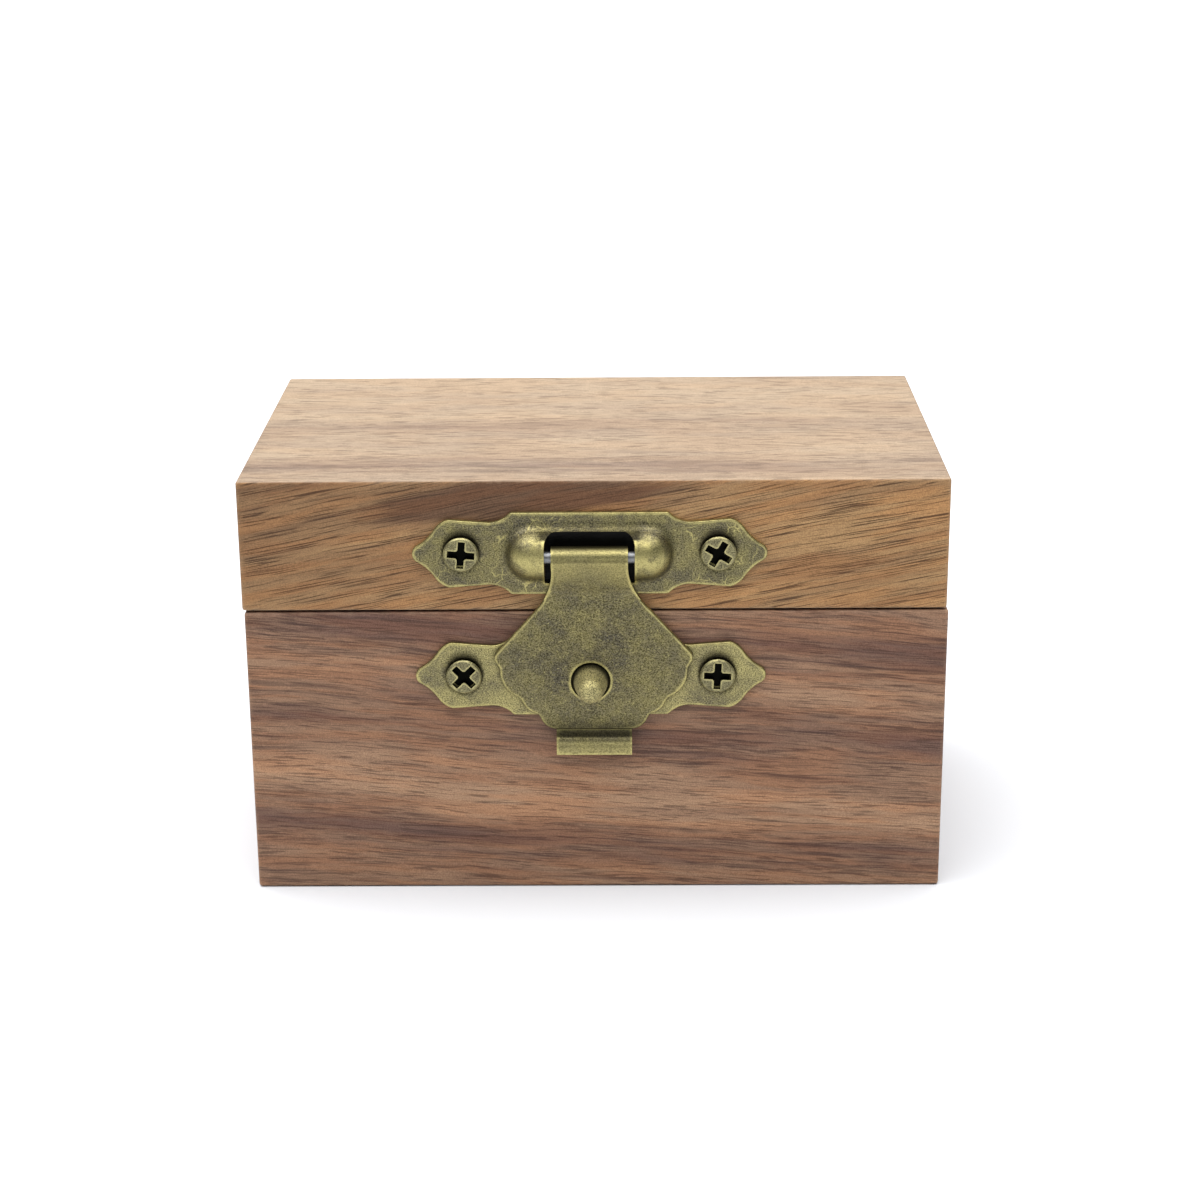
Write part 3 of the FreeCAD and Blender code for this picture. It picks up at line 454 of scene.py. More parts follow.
# The top's paler, greyer tones are partly its face grain and partly painted sheen where the light grazes it.
lidTop = {
    "pale": (0.445, 0.334, 0.232, 1),
    "mid": (0.385, 0.285, 0.203, 1),
    "deep": (0.275, 0.197, 0.148, 1),
    "skin": 0.2,
    "wave": 0.5,
    "tilt": 0.0,
    "pith": (0.0, 60.0, -40.0),
    # darkness of the figure at y from the back of the top to its front
    "bands": ((30, 0.12), (15, 0.15), (6, 0.18), (2, 0.5), (-3, 0.62), (-8, 0.3), (-14, 0.25),
              (-19, 0.55), (-23, 0.75), (-27, 0.5), (-30.5, 0.35)),
    "streaks": 0.4,
    "pores": 0.5,
    "poreSize": (4.0, 0.4, 0.2),
    "ruddy": (1.02, 0.985, 0.95),
}


def boardBands(tree, ring, board):
    pith = Vector(board["pith"])
    if board is lidTop:
        spots = [(depth, woodTop) for depth, _ in board["bands"]]
    else:
        spots = [(woodFront, height) for height, _ in board["bands"]]
    rings = [math.hypot(depth - pith.y, height - pith.z) for depth, height in spots]
    low, high = rings[0], rings[-1]
    stops = [((place - low) / (high - low), grey) for place, (_, grey) in zip(rings, board["bands"])]
    share = addNode(tree, "MapRange", {"Value": ring, "From Min": low, "From Max": high}).outputs[0]
    return ramp(tree, share, stops)


def boardLooks(tree, place, board, darker=None, pores=None):
    flow = useGroup(tree, grainFlow, Vector=place, Tilt=math.radians(board["tilt"]), Wave=board["wave"],
                    Pith=board["pith"])
    band = boardBands(tree, flow["Ring"], board)
    if darker is not None:
        band = calc(tree, "ADD", band, darker)
    return useGroup(tree, walnutGrain, Vector=flow["Vector"], Ring=flow["Ring"], Band=band,
                    Pale=board["pale"], Mid=board["mid"], Deep=board["deep"], Streaks=board["streaks"],
                    Pores=pores or board["pores"], PoreSize=board["poreSize"], Ruddy=board["ruddy"])


# The pale edge is partly wear and partly a painted highlight.
def wornArris(tree, place, colour, board):
    worn = useGroup(tree, edgeRub, Vector=place, Reach=edgeWear["reach"], Patch=edgeWear["patch"])["Mask"]
    return mix(tree, calc(tree, "MULTIPLY", worn, edgeWear["strength"]), colour, board["worn"])


def makeBaseWalnut():
    material, tree, surface, place = newMaterial("baseWalnut", Specular_IOR_Level=oiled["shine"])
    looks = dict(boardLooks(tree, place, baseBoard).items())
    looks["Color"] = wornArris(tree, place, looks["Color"], baseBoard)
    finishSurface(tree, surface, looks, oiled["bump"], oiled["bumpDepth"])
    return material


# Darker over the hasp, partly the board's heart and partly painted shade; and darker towards the left end.
def darkHeart(tree, across, up):
    x, z, wide, tall, slope = lidBoard["heart"]
    offX = calc(tree, "SUBTRACT", across, x)
    offZ = calc(tree, "SUBTRACT", calc(tree, "SUBTRACT", up, z), calc(tree, "MULTIPLY", offX, slope))
    shareX = calc(tree, "DIVIDE", offX, wide)
    shareZ = calc(tree, "DIVIDE", offZ, tall)
    far = calc(tree, "MULTIPLY_ADD", shareX, shareX, calc(tree, "MULTIPLY", shareZ, shareZ))
    heart = mask(tree, far, 0.0, 1.0, lidBoard["heartDepth"], 0.0)
    return calc(tree, "ADD", heart, mask(tree, across, *lidBoard["ends"]))


def insideBox(tree, spot, corners, softAside=boxSoft):
    left, bottom, right, top = corners
    sides = ((0, left, softAside), (0, right, -softAside), (2, bottom, boxSoft), (2, top, -boxSoft))
    inside = 1.0
    for axis, edge, soft in sides:
        inside = calc(tree, "MULTIPLY", mask(tree, spot[axis], edge, edge + soft), inside)
    return inside


def makeLidWalnut():
    material, tree, surface, place = newMaterial("lidWalnut", Specular_IOR_Level=oiled["shine"])
    spot = addNode(tree, "SeparateXYZ", {0: place}).outputs
    endPores = mask(tree, calc(tree, "ABSOLUTE", spot[0]), lidEnd - lidBoard["endSkin"], lidEnd,
                    lidBoard["pores"], lidBoard["endPores"])
    front = boardLooks(tree, place, lidBoard, darkHeart(tree, spot[0], spot[2]), endPores)
    top = boardLooks(tree, place, lidTop)
    onTop = calc(tree, "MAXIMUM", mask(tree, spot[2], woodTop - lidTop["skin"], woodTop),
                 mask(tree, spot[2], lidSeam + lidTop["skin"], lidSeam))
    looks = {label: mix(tree, onTop, front[label], top[label]) for label in ("Color", "Roughness", "Height")}
    looks["Color"] = wornArris(tree, place, looks["Color"], lidBoard)
    # painted shade: the wood behind the hasp's window turns near black
    ends, starts = lidBoard["behindDepth"]
    hidden = calc(tree, "MULTIPLY", insideBox(tree, spot, lidBoard["behindHasp"]),
                  mask(tree, spot[1], woodFront + ends, woodFront + starts))
    looks["Color"] = mix(tree, hidden, looks["Color"], lidBoard["soot"])
    finishSurface(tree, surface, looks, oiled["bump"], oiled["bumpDepth"])
    return material


dress(makeBaseWalnut(), "base_box")
dress(makeLidWalnut(), "lid_box")
print("walnut on base and lid")


# Antique brass of the hasp

# Each feature's size in mm, along x, y and z where it differs, then its noise's detail and roughness.
patina = {
    "cloud": (4.5, 6.0, 0.7),
    "grain": ((0.2, 0.2, 0.16), 2.0, 0.7),
    "speck": ((0.3, 0.22, 0.2), 1.0),
    "veinWander": (2.0, 2.0),
    "veinPatch": (3.8, 2.0),
    "brush": ((1.9, 0.07, 0.07), 1.0),
}
# Values of a feature's noise at which it begins to show and at which it shows fully.
patinaRange = {"speck": (0.6, 0.72), "veinPatch": (0.55, 0.68), "brush": (0.6, 0.74)}
# How strongly the features show in the tone, the rubbed places, the roughness and the bump.
patinaShare = {
    "grainTone": (0.3, 1.8),
    "grainRub": (-0.45, 0.15),
    "grainBump": 0.5,
    "speckRub": 0.5,
    "cloudDull": (0.54, 0.46),
    "cloudBump": 0.6,
    "rubDull": -0.06,
}
veinCells = {"perMm": 0.42, "width": 0.05, "swing": 2.6}
brassBump = {"strength": 0.3, "depth": 0.04}


def makeBrassPatina():
    inputs = {"Vector": ("Vector", None), "Rub": ("Float", 0.0), "Dark": ("Color", None),
              "Olive": ("Color", None), "Bare": ("Color", None), "Veins": ("Float", 0.5),
              "Brushed": ("Float", 0.5), "Grime": ("Float", 0.0), "Soot": ("Color", None),
              "Satin": ("Float", 0.0)}
    outputs = {"Color": "Color", "Roughness": "Float", "Height": "Float"}
    group, given, out = newGroup("brassPatina", inputs, outputs)
    place = given["Vector"]
    cloud = noise(group, place, *patina["cloud"])[0]
    colour = mix(group, spread(group, cloud), given["Dark"], given["Olive"])
    grain = noise(group, place, *patina["grain"])[0]
    colour = shade(group, colour, spread(group, grain, *patinaShare["grainTone"]))
    speck = patches(group, place, patina["speck"], patinaRange["speck"])

    wander = noise(group, place, *patina["veinWander"])["Color"]
    wander = vectorCalc(group, "SUBTRACT", wander, [noiseMiddle] * 3)
    wander = vectorCalc(group, "SCALE", wander, scale=veinCells["swing"])
    cells = {"Vector": vectorCalc(group, "ADD", place, wander), "Scale": veinCells["perMm"]}
    crack = addNode(group, "TexVoronoi", cells, feature="DISTANCE_TO_EDGE").outputs["Distance"]
    vein = mask(group, crack, 0.0, veinCells["width"], 1.0, 0.0)
    patch = patches(group, place, patina["veinPatch"], patinaRange["veinPatch"])
    vein = calc(group, "MULTIPLY", calc(group, "MULTIPLY", vein, patch), given["Veins"])
    brush = patches(group, place, patina["brush"], patinaRange["brush"])
    brush = calc(group, "MULTIPLY", brush, given["Brushed"])

    rub = calc(group, "MAXIMUM", given["Rub"], calc(group, "MAXIMUM", vein, brush))
    rub = calc(group, "MAXIMUM", rub, calc(group, "MULTIPLY", speck, patinaShare["speckRub"]))
    rub = calc(group, "MULTIPLY_ADD", spread(group, grain, *patinaShare["grainRub"]), rub, rub)
    colour = mix(group, rub, colour, given["Bare"])
    fill(group, out["Color"], mix(group, given["Grime"], colour, given["Soot"]))
    rough = calc(group, "ADD", spread(group, cloud, *patinaShare["cloudDull"]), given["Satin"])
    fill(group, out["Roughness"], calc(group, "MULTIPLY_ADD", rub, patinaShare["rubDull"], rough))
    raised = calc(group, "MULTIPLY", cloud, patinaShare["cloudBump"])
    fill(group, out["Height"], calc(group, "MULTIPLY_ADD", grain, patinaShare["grainBump"], raised))
    return group


brassPatina = makeBrassPatina()

plateBrass = {
    "dark": (0.108, 0.096, 0.066, 1),
    "olive": (0.215, 0.187, 0.081, 1),
    "bare": (0.5, 0.435, 0.175, 1),
    "soot": (0.012, 0.010, 0.006, 1),
    "edgeReach": 0.6,
    "edgePatch": 1.4,
    "grimeReach": 1.0,
    "grime": 0.3,
    "veins": 0.9,
    "brushed": 0.25,
    "satin": 0.0,
}
# The catch plate's paler tones are partly its own and partly painted light.
catchBrass = dict(
    plateBrass, dark=(0.155, 0.136, 0.082, 1), olive=(0.315, 0.275, 0.12, 1), veins=0.3, grime=0.6)
flapBrass = dict(
    plateBrass, dark=(0.09, 0.08, 0.058, 1), olive=(0.178, 0.154, 0.068, 1), veins=0.2, brushed=0.4)
# The post's paler tones are painted light, standing in for the light on its end.
postBrass = dict(
    plateBrass, dark=(0.34, 0.3, 0.155, 1), olive=(0.45, 0.4, 0.19, 1), bare=(0.6, 0.53, 0.24, 1),
    grime=0.0, veins=0.0, brushed=0.2, satin=0.18)
hingeBrass = dict(plateBrass, veins=0.3, grime=0.5)
screwBrass = {
    "dark": (0.14, 0.125, 0.072, 1),
    "olive": (0.205, 0.184, 0.098, 1),
    "bare": (0.47, 0.42, 0.2, 1),
    "soot": (0.004, 0.004, 0.003, 1),
    "edgeReach": 0.35,
    "edgePatch": 1.0,
    "grimeReach": 1.1,
    "grime": 1.0,
    "veins": 0.0,
    "brushed": 0.2,
    "satin": 0.0,
}
# Places on the hasp in mm: its middle, its screws and its post.
hasp = {"x": -0.8, "screwsAside": 18.1, "upperZ": 51.5, "catchZ": 33.25, "postZ": 32.65}
# Painted shadow round the screws in their dished seats, and painted shade in the post's hole, at distances
# from their middles; round the screws it is shifted up.
seatGrime = {"shift": 0.9, "from": 2.0, "to": 3.3, "strength": 0.85}
postGrime = {"from": 2.7, "to": 3.4, "strength": 0.95}
# Painted shade on the flap, at heights: above its finger lip, in the crease below its knuckle, along the
# middle of the lip, and on top of the knuckle.
bendGrime = {"from": 24.35, "to": 28.3, "strength": 0.8, "soft": 0.3}
creaseGrime = {"z": 51.35, "half": 0.5, "strength": 0.5}
lipGrime = {"z": 22.95, "half": 0.5, "strength": 0.25}
knuckleGrime = {"from": 52.4, "to": 53.05, "strength": 0.86}
# Painted shade on the plate's bend into the window, thinning out upwards; the rubbed brightness is also
# taken off there.
windowEdge = {
    "corners": (-8.9, 53.9, 7.3, 55.9),
    "softAside": 1.6,
    "from": 54.6,
    "to": 55.3,
    "thick": 0.85,
    "thin": 0.48,
}
# Painted shade where the post leaves the flap's eye, at these distances before the box's middle.
collarGrime = {"from": 32.3, "to": 33.8, "strength": 0.85}
# Hands have rubbed the parts that stand proud of the plates, at these distances before the box's middle.
proudBrass = {"from": 32.4, "to": 34.2, "strength": 0.85, "patch": (1.6, 3.0), "blotch": (0.25, 0.6)}
# The rim of the flap is rubbed yellower than its middle: x and z of the middle, and the half sizes.
flapRim = {"middle": (-0.6, 37.5), "half": (14.0, 13.5), "from": 0.45, "strength": 0.12}
# Painted highlights at these heights: the finger lip, and the neck below the knuckle.
lipRub = {"from": 23.4, "to": 24.2, "strength": 0.5}
neckRub = {"from": 45.5, "to": 50.9, "strength": 0.55}
# Depths of the screws' faces from the box's middle; below them the cross slots are full of soot and the
# heads' sides get painted shade.
slotSoot = {"haspScrewBrass": (31.5, 31.68), "hingeScrewBrass": (31.2, 31.36)}


# The cavity grime is patina in the hollows; the contact grime and the extra marks passed in are painted
# shade, apart from the soot in the screw slots.
def makeBrass(name, look, wear=None, dirt=None, grimeGroup=cavityGrime):
    material, tree, surface, place = newMaterial(name, Metallic=1.0)
    rub = useGroup(tree, edgeRub, Vector=place, Reach=look["edgeReach"], Patch=look["edgePatch"])["Mask"]
    if wear is not None:
        rub = wear(tree, place, rub)
    grime = useGroup(tree, grimeGroup, Reach=look["grimeReach"])["Mask"]
    grime = calc(tree, "MULTIPLY", grime, look["grime"])
    if dirt is not None:
        grime = calc(tree, "MAXIMUM", grime, dirt(tree, place))
    looks = useGroup(tree, brassPatina, Vector=place, Rub=rub, Dark=look["dark"], Olive=look["olive"],
                     Bare=look["bare"], Veins=look["veins"], Brushed=look["brushed"], Grime=grime,
                     Soot=look["soot"], Satin=look["satin"])
    finishSurface(tree, surface, looks, brassBump["strength"], brassBump["depth"])
    return material


def offFrom(tree, place, x, z):
    off = vectorCalc(tree, "SUBTRACT", place, (x, 0.0, z))
    return vectorCalc(tree, "LENGTH", vectorCalc(tree, "MULTIPLY", off, (1.0, 0.0, 1.0)))


def plateDirt(tree, place):
    spots = [(hasp["x"] + side * hasp["screwsAside"], hasp[level] + seatGrime["shift"])
             for side in (-1, 1) for level in ("upperZ", "catchZ")]
    dirt = mask(tree, offFrom(tree, place, hasp["x"], hasp["postZ"]), postGrime["from"], postGrime["to"],
                postGrime["strength"], 0.0)
    for x, z in spots:
        off = offFrom(tree, place, x, z)
        seat = mask(tree, off, seatGrime["from"], seatGrime["to"], seatGrime["strength"], 0.0)
        dirt = calc(tree, "MAXIMUM", dirt, seat)
    spot = addNode(tree, "SeparateXYZ", {0: place}).outputs
    edge = insideBox(tree, spot, windowEdge["corners"], windowEdge["softAside"])
    soot = mask(tree, spot[2], windowEdge["from"], windowEdge["to"], windowEdge["thick"], windowEdge["thin"])
    return calc(tree, "MAXIMUM", dirt, calc(tree, "MULTIPLY", edge, soot))


def flapDirt(tree, place):
    up = addNode(tree, "SeparateXYZ", {0: place}).outputs[2]
    bend = mask(tree, up, bendGrime["from"], bendGrime["to"], bendGrime["strength"], 0.0)
    above = mask(tree, up, bendGrime["from"] - bendGrime["soft"], bendGrime["from"])
    bend = calc(tree, "MULTIPLY", bend, above)
    knuckle = mask(tree, up, knuckleGrime["from"], knuckleGrime["to"], 0.0, knuckleGrime["strength"])
    dirt = calc(tree, "MAXIMUM", bend, knuckle)
    for line in (creaseGrime, lipGrime):
        off = calc(tree, "ABSOLUTE", calc(tree, "SUBTRACT", up, line["z"]))
        dirt = calc(tree, "MAXIMUM", dirt, mask(tree, off, 0.0, line["half"], line["strength"], 0.0))
    return dirt


def collarDirt(tree, place):
    forward = calc(tree, "MULTIPLY", addNode(tree, "SeparateXYZ", {0: place}).outputs[1], -1.0)
    return mask(tree, forward, collarGrime["from"], collarGrime["to"], collarGrime["strength"], 0.0)


def slotDirt(name):
    sunk, face = slotSoot[name]

    def dirt(tree, place):
        depth = calc(tree, "ABSOLUTE", addNode(tree, "SeparateXYZ", {0: place}).outputs[1])
        return mask(tree, depth, sunk, face, 1.0, 0.0)
    return dirt


def proudWear(tree, place, rub):
    forward = calc(tree, "MULTIPLY", addNode(tree, "SeparateXYZ", {0: place}).outputs[1], -1.0)
    proud = mask(tree, forward, proudBrass["from"], proudBrass["to"], 0.0, proudBrass["strength"])
    blotch = patches(tree, place, proudBrass["patch"], proudBrass["blotch"])
    return calc(tree, "MAXIMUM", rub, calc(tree, "MULTIPLY", proud, blotch))


# Rubbed where proud, with the rubbing taken off at the window's edge as painted shade.
def plateWear(tree, place, rub):
    spot = addNode(tree, "SeparateXYZ", {0: place}).outputs
    hidden = insideBox(tree, spot, windowEdge["corners"], windowEdge["softAside"])
    return calc(tree, "MULTIPLY", proudWear(tree, place, rub), calc(tree, "SUBTRACT", 1.0, hidden))


# The rim is rubbed; the lip and the neck get painted highlights.
def flapWear(tree, place, rub):
    x, z = flapRim["middle"]
    wide, tall = flapRim["half"]
    middle = vectorCalc(tree, "SUBTRACT", place, (x, 0.0, z))
    far = vectorCalc(tree, "LENGTH", vectorCalc(tree, "MULTIPLY", middle, (1 / wide, 0.0, 1 / tall)))
    rim = mask(tree, far, flapRim["from"], 1.0, 0.0, flapRim["strength"])
    up = addNode(tree, "SeparateXYZ", {0: place}).outputs[2]
    lip = mask(tree, up, lipRub["from"], lipRub["to"], lipRub["strength"], 0.0)
    neck = mask(tree, up, neckRub["from"], neckRub["to"], 0.0, neckRub["strength"])
    for more in (rim, lip, neck):
        rub = calc(tree, "MAXIMUM", rub, more)
    return rub


hingeNodes = [name for name in nodes if "hinge" in name and "screws" not in name]
dress(makeBrass("plateBrass", plateBrass, plateWear, plateDirt), "hasp_upper_plate")
dress(makeBrass("catchBrass", catchBrass, dirt=plateDirt, grimeGroup=contactGrime), "hasp_catch_plate")
dress(makeBrass("flapBrass", flapBrass, flapWear, flapDirt), "hasp_flap")
dress(makeBrass("postBrass", postBrass, dirt=collarDirt), "hasp_catch_post")
dress(makeBrass("hingeBrass", hingeBrass), *hingeNodes)
dress(makeBrass("haspScrewBrass", screwBrass, dirt=slotDirt("haspScrewBrass")),
      "upper_plate_screws", "catch_plate_screws")
dress(makeBrass("hingeScrewBrass", screwBrass, dirt=slotDirt("hingeScrewBrass")),
      "hinge_base_screws", "hinge_lid_screws")
print("brass on hasp, hinges and screws")


pinSteel = {
    "dark": (0.17, 0.173, 0.18, 1),
    "bright": (0.3, 0.304, 0.314, 1),
    "drawn": ((6.0, 0.08, 0.08), 2.0),
    "roughness": (0.4, 0.5),
    "bump": 0.1,
    "bumpDepth": 0.02,
}


def makePinSteel():
    material, tree, surface, place = newMaterial("pinSteel", Metallic=1.0)
    drawn = noise(tree, place, *pinSteel["drawn"])[0]
    colour = mix(tree, drawn, pinSteel["dark"], pinSteel["bright"])
    looks = {"Color": colour, "Roughness": spread(tree, drawn, *pinSteel["roughness"]), "Height": drawn}
    finishSurface(tree, surface, looks, pinSteel["bump"], pinSteel["bumpDepth"])
    return material


dress(makePinSteel(), "hasp_pin")
print("steel pin")


# Cloth lining, lid pad and watch pillow

# Each feature's size in mm, along x, y and z where it differs, then its noise's detail and roughness.
nap = {"brushed": ((9.0, 7.0, 7.0), 3.0, 0.55), "tuft": (0.42, 2.0, 0.6), "fibre": ((0.5, 0.11, 0.11), 1.0)}
# How strongly the features show in the tone, the roughness and the bump.
napShare = {
    "brushedTone": (0.34, 0.66),
    "brushedDull": (0.96, 0.86),
    "tuftTone": (0.25, 0.75, 0.84, 1.12),  # two values of its noise, and the brightness at each
    "fibreTone": (0.9, 1.1),
    "fibreBump": 0.4,
}
suede = {"sheen": 0.35, "sheenRoughness": 0.4, "shine": 0.15, "bump": 0.5}


def makeSuedeNap():
    inputs = {"Vector": ("Vector", None), "Tone": ("Color", None), "Hollow": ("Color", None)}
    outputs = {"Color": "Color", "Roughness": "Float", "Height": "Float"}
    group, given, out = newGroup("suedeNap", inputs, outputs)
    place = given["Vector"]
    brushed, tuft, fibre = [noise(group, place, *made)[0] for made in nap.values()]
    colour = mix(group, mask(group, brushed, *napShare["brushedTone"]), given["Hollow"], given["Tone"])
    bright = mask(group, tuft, *napShare["tuftTone"])
    bright = calc(group, "MULTIPLY", bright, spread(group, fibre, *napShare["fibreTone"]))
    fill(group, out["Color"], shade(group, colour, bright))
    fill(group, out["Roughness"], spread(group, brushed, *napShare["brushedDull"]))
    fill(group, out["Height"], calc(group, "MULTIPLY_ADD", fibre, napShare["fibreBump"], tuft))
    return group


suedeNap = makeSuedeNap()
suedeTones = {
    "liningSuede": {"tone": (0.44, 0.345, 0.24, 1), "hollow": (0.37, 0.285, 0.195, 1), "depth": 0.09},
    "padSuede": {"tone": (0.45, 0.355, 0.25, 1), "hollow": (0.38, 0.295, 0.205, 1), "depth": 0.10},
    "pillowSuede": {"tone": (0.47, 0.375, 0.265, 1), "hollow": (0.395, 0.31, 0.215, 1), "depth": 0.11},
}


def makeSuede(name):
    look = suedeTones[name]
    material, tree, surface, place = newMaterial(
        name, Sheen_Weight=suede["sheen"], Sheen_Roughness=suede["sheenRoughness"],
        Specular_IOR_Level=suede["shine"])
    looks = useGroup(tree, suedeNap, Vector=place, Tone=look["tone"], Hollow=look["hollow"])
    finishSurface(tree, surface, looks, suede["bump"], look["depth"])
    return material


liningSuede, padSuede, pillowSuede = [makeSuede(name) for name in suedeTones]


def nodeBox(node):
    low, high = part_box(node)
    return Vector(low) / mm, Vector(high) / mm


def newPiece(name, shape, material, body, node):
    mesh = bpy.data.meshes.new(name)
    bmesh.ops.scale(shape, vec=(mm, mm, mm), verts=shape.verts)
    shape.to_mesh(mesh)
    shape.free()
    mesh.shade_smooth()
    mesh.materials.append(material)
    piece = bpy.data.objects.new(name, mesh)
    bpy.context.scene.collection.objects.link(piece)
    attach(piece, body)
    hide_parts(node)
    return piece


lining = {
    "thick": 1.1,
    "corner": 5.9,
    "cornerSteps": 8,
    "joint": 0.4,  # open butt joint at the back
    "rows": 10,
    "step": 3.5,
    "ripple": 0.14,
    "rippleSize": 11.0,
    "floorRipple": 0.25,  # share of the ripple that the floor has
    "hem": 0.42,
    "hemSteps": 3,
}


def thicken(piece):
    wall = piece.modifiers.new("thickness", "SOLIDIFY")
    wall.thickness = lining["thick"] * mm
    wall.offset = 0.0
    hem = piece.modifiers.new("softHem", "BEVEL")
    hem.width = lining["hem"] * mm
    hem.segments = lining["hemSteps"]


def ripple(place):
    return lining["ripple"] * (0.5 + 0.5 * fabricNoise(place / lining["rippleSize"]))


def makeLiningStrip(name, node, body):
    low, high = nodeBox(node)
    half = lining["thick"] / 2
    middle = (low + high) / 2
    left, right = low.x + half, high.x - half
    front, back = low.y + half, high.y - half
    gap = lining["joint"] / 2
    route = [(middle.x + gap, back), (right, back), (right, front),
             (left, front), (left, back), (middle.x - gap, back)]
    strip = bmesh.new()
    spots = [strip.verts.new((x, y, low.z)) for x, y in route]
    for first, second in zip(spots, spots[1:]):
        strip.edges.new((first, second))
    bmesh.ops.bevel(strip, geom=spots[1:-1], offset=lining["corner"] - half, affect="VERTICES",
                    segments=lining["cornerSteps"], profile=0.5, material=-1)
    for edge in [edge for edge in strip.edges if edge.calc_length() > lining["step"]]:
        bmesh.ops.subdivide_edges(strip, edges=[edge], cuts=int(edge.calc_length() / lining["step"]))
    rim = strip.edges[:]
    rise = (high.z - low.z) / lining["rows"]
    for row in range(lining["rows"]):
        grown = bmesh.ops.extrude_edge_only(strip, edges=rim)["geom"]
        raised = {item for item in grown if isinstance(item, bmesh.types.BMVert)}
        edges = [item for item in grown if isinstance(item, bmesh.types.BMEdge)]
        rim = [edge for edge in edges if raised.issuperset(edge.verts)]
        bmesh.ops.translate(strip, verts=list(raised), vec=(0, 0, rise))
    bmesh.ops.recalc_face_normals(strip, faces=strip.faces)
    strip.normal_update()
    for spot in strip.verts:
        inward = spot.normal.copy()
        if inward.dot(middle - spot.co) < 0:
            inward.negate()
        spot.co += Vector((inward.x, inward.y, 0)) * ripple(spot.co)
    piece = newPiece(name, strip, liningSuede, body, node)
    thicken(piece)


def makeLiningFloor(name, node):
    low, high = nodeBox(node)
    size = high - low
    middle = (low + high) / 2
    panel = bmesh.new()
    bmesh.ops.create_grid(panel, x_segments=1, y_segments=1, size=0.5)
    bmesh.ops.scale(panel, vec=(size.x, size.y, 1), verts=panel.verts)
    bmesh.ops.bevel(panel, geom=panel.verts[:], offset=lining["corner"], affect="VERTICES",
                    segments=lining["cornerSteps"], profile=0.5, material=-1)
    for axis in (0, 1):
        across = Vector((1, 0, 0)) if axis == 0 else Vector((0, 1, 0))
        cuts = int(size[axis] / lining["step"])
        for cut in range(1, cuts):
            spot = across * size[axis] * (cut / cuts - 0.5)
            bmesh.ops.bisect_plane(panel, geom=panel.verts[:] + panel.edges[:] + panel.faces[:],
                                   plane_co=spot, plane_no=across)
    bmesh.ops.translate(panel, verts=panel.verts, vec=middle)
    for spot in panel.verts:
        spot.co.z -= ripple(spot.co) * lining["floorRipple"]
    area = sum(face.calc_area() for face in panel.faces) * mm * mm
    piece = newPiece(name, panel, liningSuede, "base", node)
    thicken(piece)


makeLiningStrip("baseLining", "base_lining_wall", "base")
makeLiningStrip("lidLining", "lid_lining_wall", "lid")
makeLiningFloor("floorLining", "base_lining_floor")
print("lining in base and lid")


stuffing = {
    "simScale": 8.0,  # the small pads are puffed up at the size of a sofa cushion
    "pressure": 3.0,
    "frames": 20,
    "weld": 0.002,  # mm
}
lidPad = {
    "voxel": 1.0,
    "shrink": (0.992, 0.985, 0.93),
    "cap": 0.9,
    "smoothing": 1,
    "heldTop": True,
    "heldWithin": 0.5,
}
watchPillow = {
    "voxel": 1.3,
    "shrink": (1.0, 0.998, 0.985),
    "cap": 1.0,
    "crown": 0.012,  # share by which it is fuller in the middle of its length
    "room": 0.3,  # by which the crown may stand over the plain form
    "smoothing": 3,
    "heldTop": False,
    "heldWithin": 0.5,
    "seamIn": 2.4,  # from each end
    "seamDeep": 0.75,
    "seamWide": 0.75,
    "pucker": 0.42,
    "puckerReach": 4.5,
    "puckerSize": 3.2,
    "puckerApart": 20,  # mm aside in the noise, so the two ends pucker differently
    "roundness": 0.6,
}


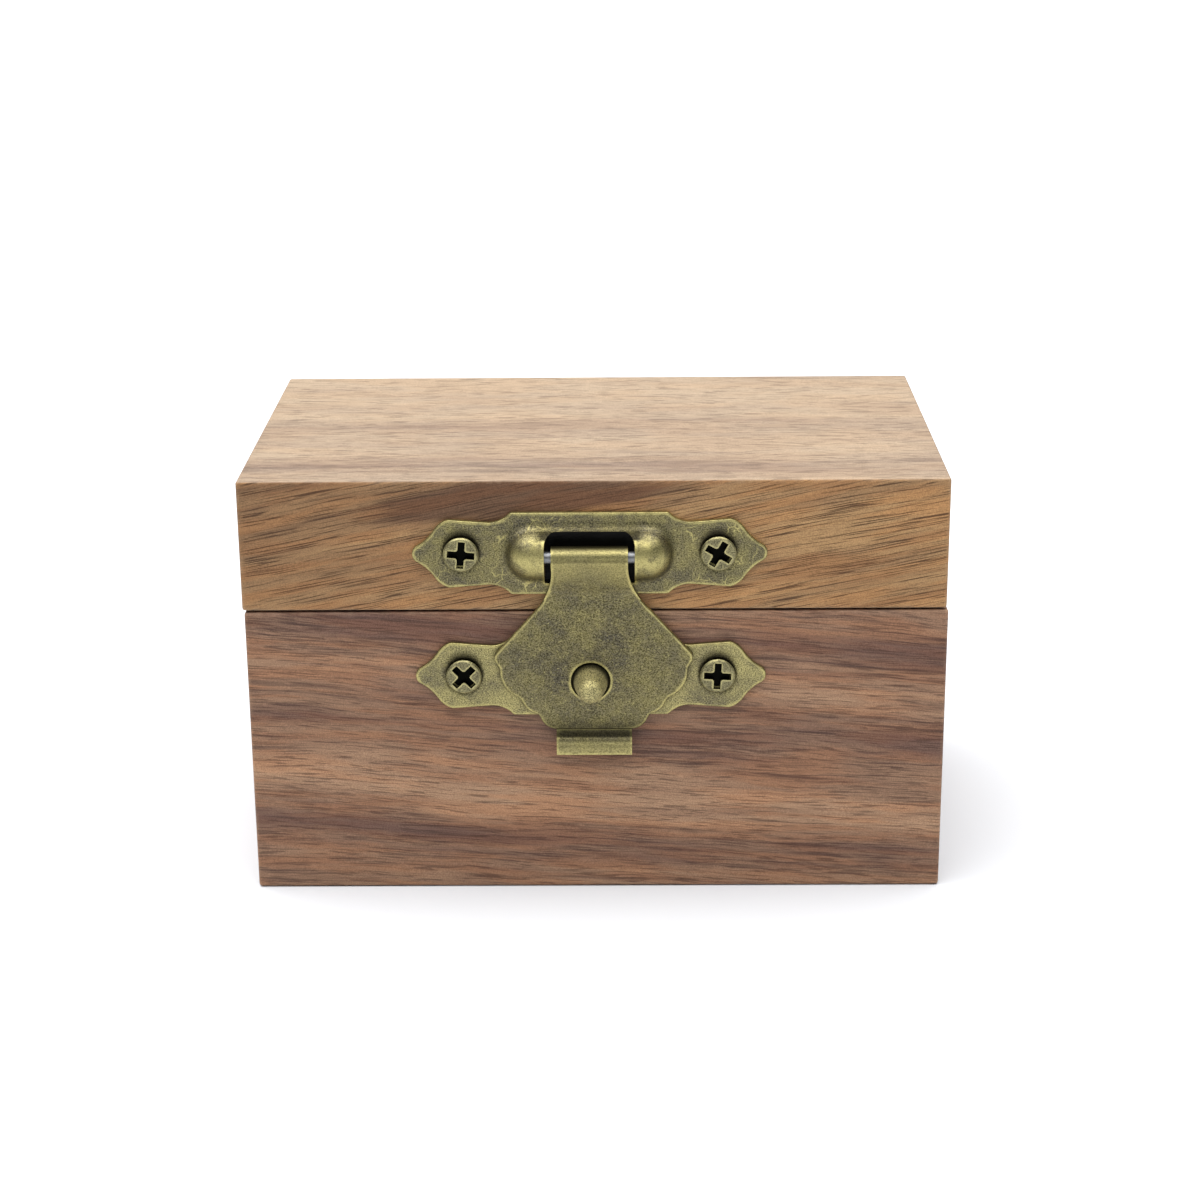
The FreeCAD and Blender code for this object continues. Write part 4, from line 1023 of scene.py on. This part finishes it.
def plumpUp(node, look):
    low, high = nodeBox(node)
    middle = (low + high) / 2
    held = high.z if look["heldTop"] else low.z
    anchor = Vector((middle.x, middle.y, held))
    shape = bmesh.new()
    shape.from_mesh(nodes[node].data)
    bmesh.ops.remove_doubles(shape, verts=shape.verts, dist=stuffing["weld"] * mm)
    bmesh.ops.scale(shape, vec=(1 / mm, 1 / mm, 1 / mm), verts=shape.verts)
    bmesh.ops.translate(shape, verts=shape.verts, vec=-anchor)
    bmesh.ops.scale(shape, vec=look["shrink"], verts=shape.verts)
    bmesh.ops.scale(shape, vec=[stuffing["simScale"] * mm] * 3, verts=shape.verts)
    mesh = bpy.data.meshes.new("stuffed")
    shape.to_mesh(mesh)
    shape.free()
    cushion = bpy.data.objects.new("stuffed", mesh)
    scene = bpy.context.scene
    scene.collection.objects.link(cushion)
    skin = cushion.modifiers.new("skin", "REMESH")
    skin.mode = "VOXEL"
    skin.voxel_size = look["voxel"] * stuffing["simScale"] * mm
    settle(cushion)
    start = [(spot.co.copy(), spot.normal.copy()) for spot in cushion.data.vertices]
    reach = look["heldWithin"] * stuffing["simScale"] * mm
    glued = cushion.vertex_groups.new(name="glued")
    glued.add([spot.index for spot in cushion.data.vertices if abs(spot.co.z) < reach], 1.0, "ADD")
    fabric = cushion.modifiers.new("fabric", "CLOTH")
    fabric.settings.use_pressure = True
    fabric.settings.uniform_pressure_force = stuffing["pressure"]
    fabric.settings.effector_weights.gravity = 0
    fabric.settings.vertex_group_mass = "glued"
    fabric.point_cache.frame_end = stuffing["frames"]
    for step in range(1, stuffing["frames"] + 1):
        scene.frame_set(step)
    settle(cushion)
    scene.frame_set(1)
    cap = look["cap"] * stuffing["simScale"] * mm
    for spot, (before, outward) in zip(cushion.data.vertices, start):
        swell = (spot.co - before).dot(outward)
        spot.co = before + outward * min(max(swell, 0), cap)
    puffed = bmesh.new()
    puffed.from_mesh(cushion.data)
    bpy.data.objects.remove(cushion)
    bmesh.ops.scale(puffed, vec=[1 / (stuffing["simScale"] * mm)] * 3, verts=puffed.verts)
    bmesh.ops.translate(puffed, verts=puffed.verts, vec=anchor)
    for turn in range(look["smoothing"]):
        bmesh.ops.smooth_vert(puffed, verts=puffed.verts, factor=0.5, use_axis_x=True, use_axis_y=True,
                              use_axis_z=True)
    return puffed, low, high


def settle(cushion):
    ready = cushion.evaluated_get(bpy.context.evaluated_depsgraph_get())
    mesh = bpy.data.meshes.new_from_object(ready)
    cushion.modifiers.clear()
    cushion.data = mesh


def keepInside(shape, low, high):
    for spot in shape.verts:
        spot.co = [min(max(value, least), most) for value, least, most in zip(spot.co, low, high)]


def makeLidPad():
    pad, low, high = plumpUp("lid_pad", lidPad)
    keepInside(pad, low, high)
    piece = newPiece("lidPad", pad, padSuede, "lid", "lid_pad")
    smooth = piece.modifiers.new("smooth", "SUBSURF")
    smooth.levels = smooth.render_levels = 1


def makeWatchPillow():
    look = watchPillow
    pillow, low, high = plumpUp("watch_pillow", look)
    half = (high - low) / 2
    for spot in pillow.verts:
        fuller = 1 + look["crown"] * (1 - ((spot.co.x - low.x) / half.x - 1) ** 2)
        spot.co.y *= fuller
        spot.co.z = low.z + (spot.co.z - low.z) * fuller
    bmesh.ops.subdivide_edges(pillow, edges=pillow.edges[:], cuts=1, use_grid_fill=True,
                              smooth=look["roundness"])
    pillow.normal_update()
    middle = (low + high) / 2
    seamAt = half.x - look["seamIn"]
    moves = []
    for spot in pillow.verts:
        aside = abs(spot.co.x - middle.x) - seamAt
        groove = look["seamDeep"] * math.exp(-(aside / look["seamWide"]) ** 2)
        end = math.copysign(look["puckerApart"], spot.co.x)
        around = Vector((end, spot.co.y, spot.co.z)) / look["puckerSize"]
        gather = look["pucker"] * fabricNoise(around) * math.exp(-abs(aside) / look["puckerReach"])
        moves.append(spot.normal * (gather - groove))
    for spot, move in zip(pillow.verts, moves):
        spot.co += move
    keepInside(pillow, low, high + Vector((0, 0, look["room"])))
    piece = newPiece("watchPillow", pillow, pillowSuede, "base", "watch_pillow")


makeLidPad()
makeWatchPillow()
print("lid pad and watch pillow stuffed")
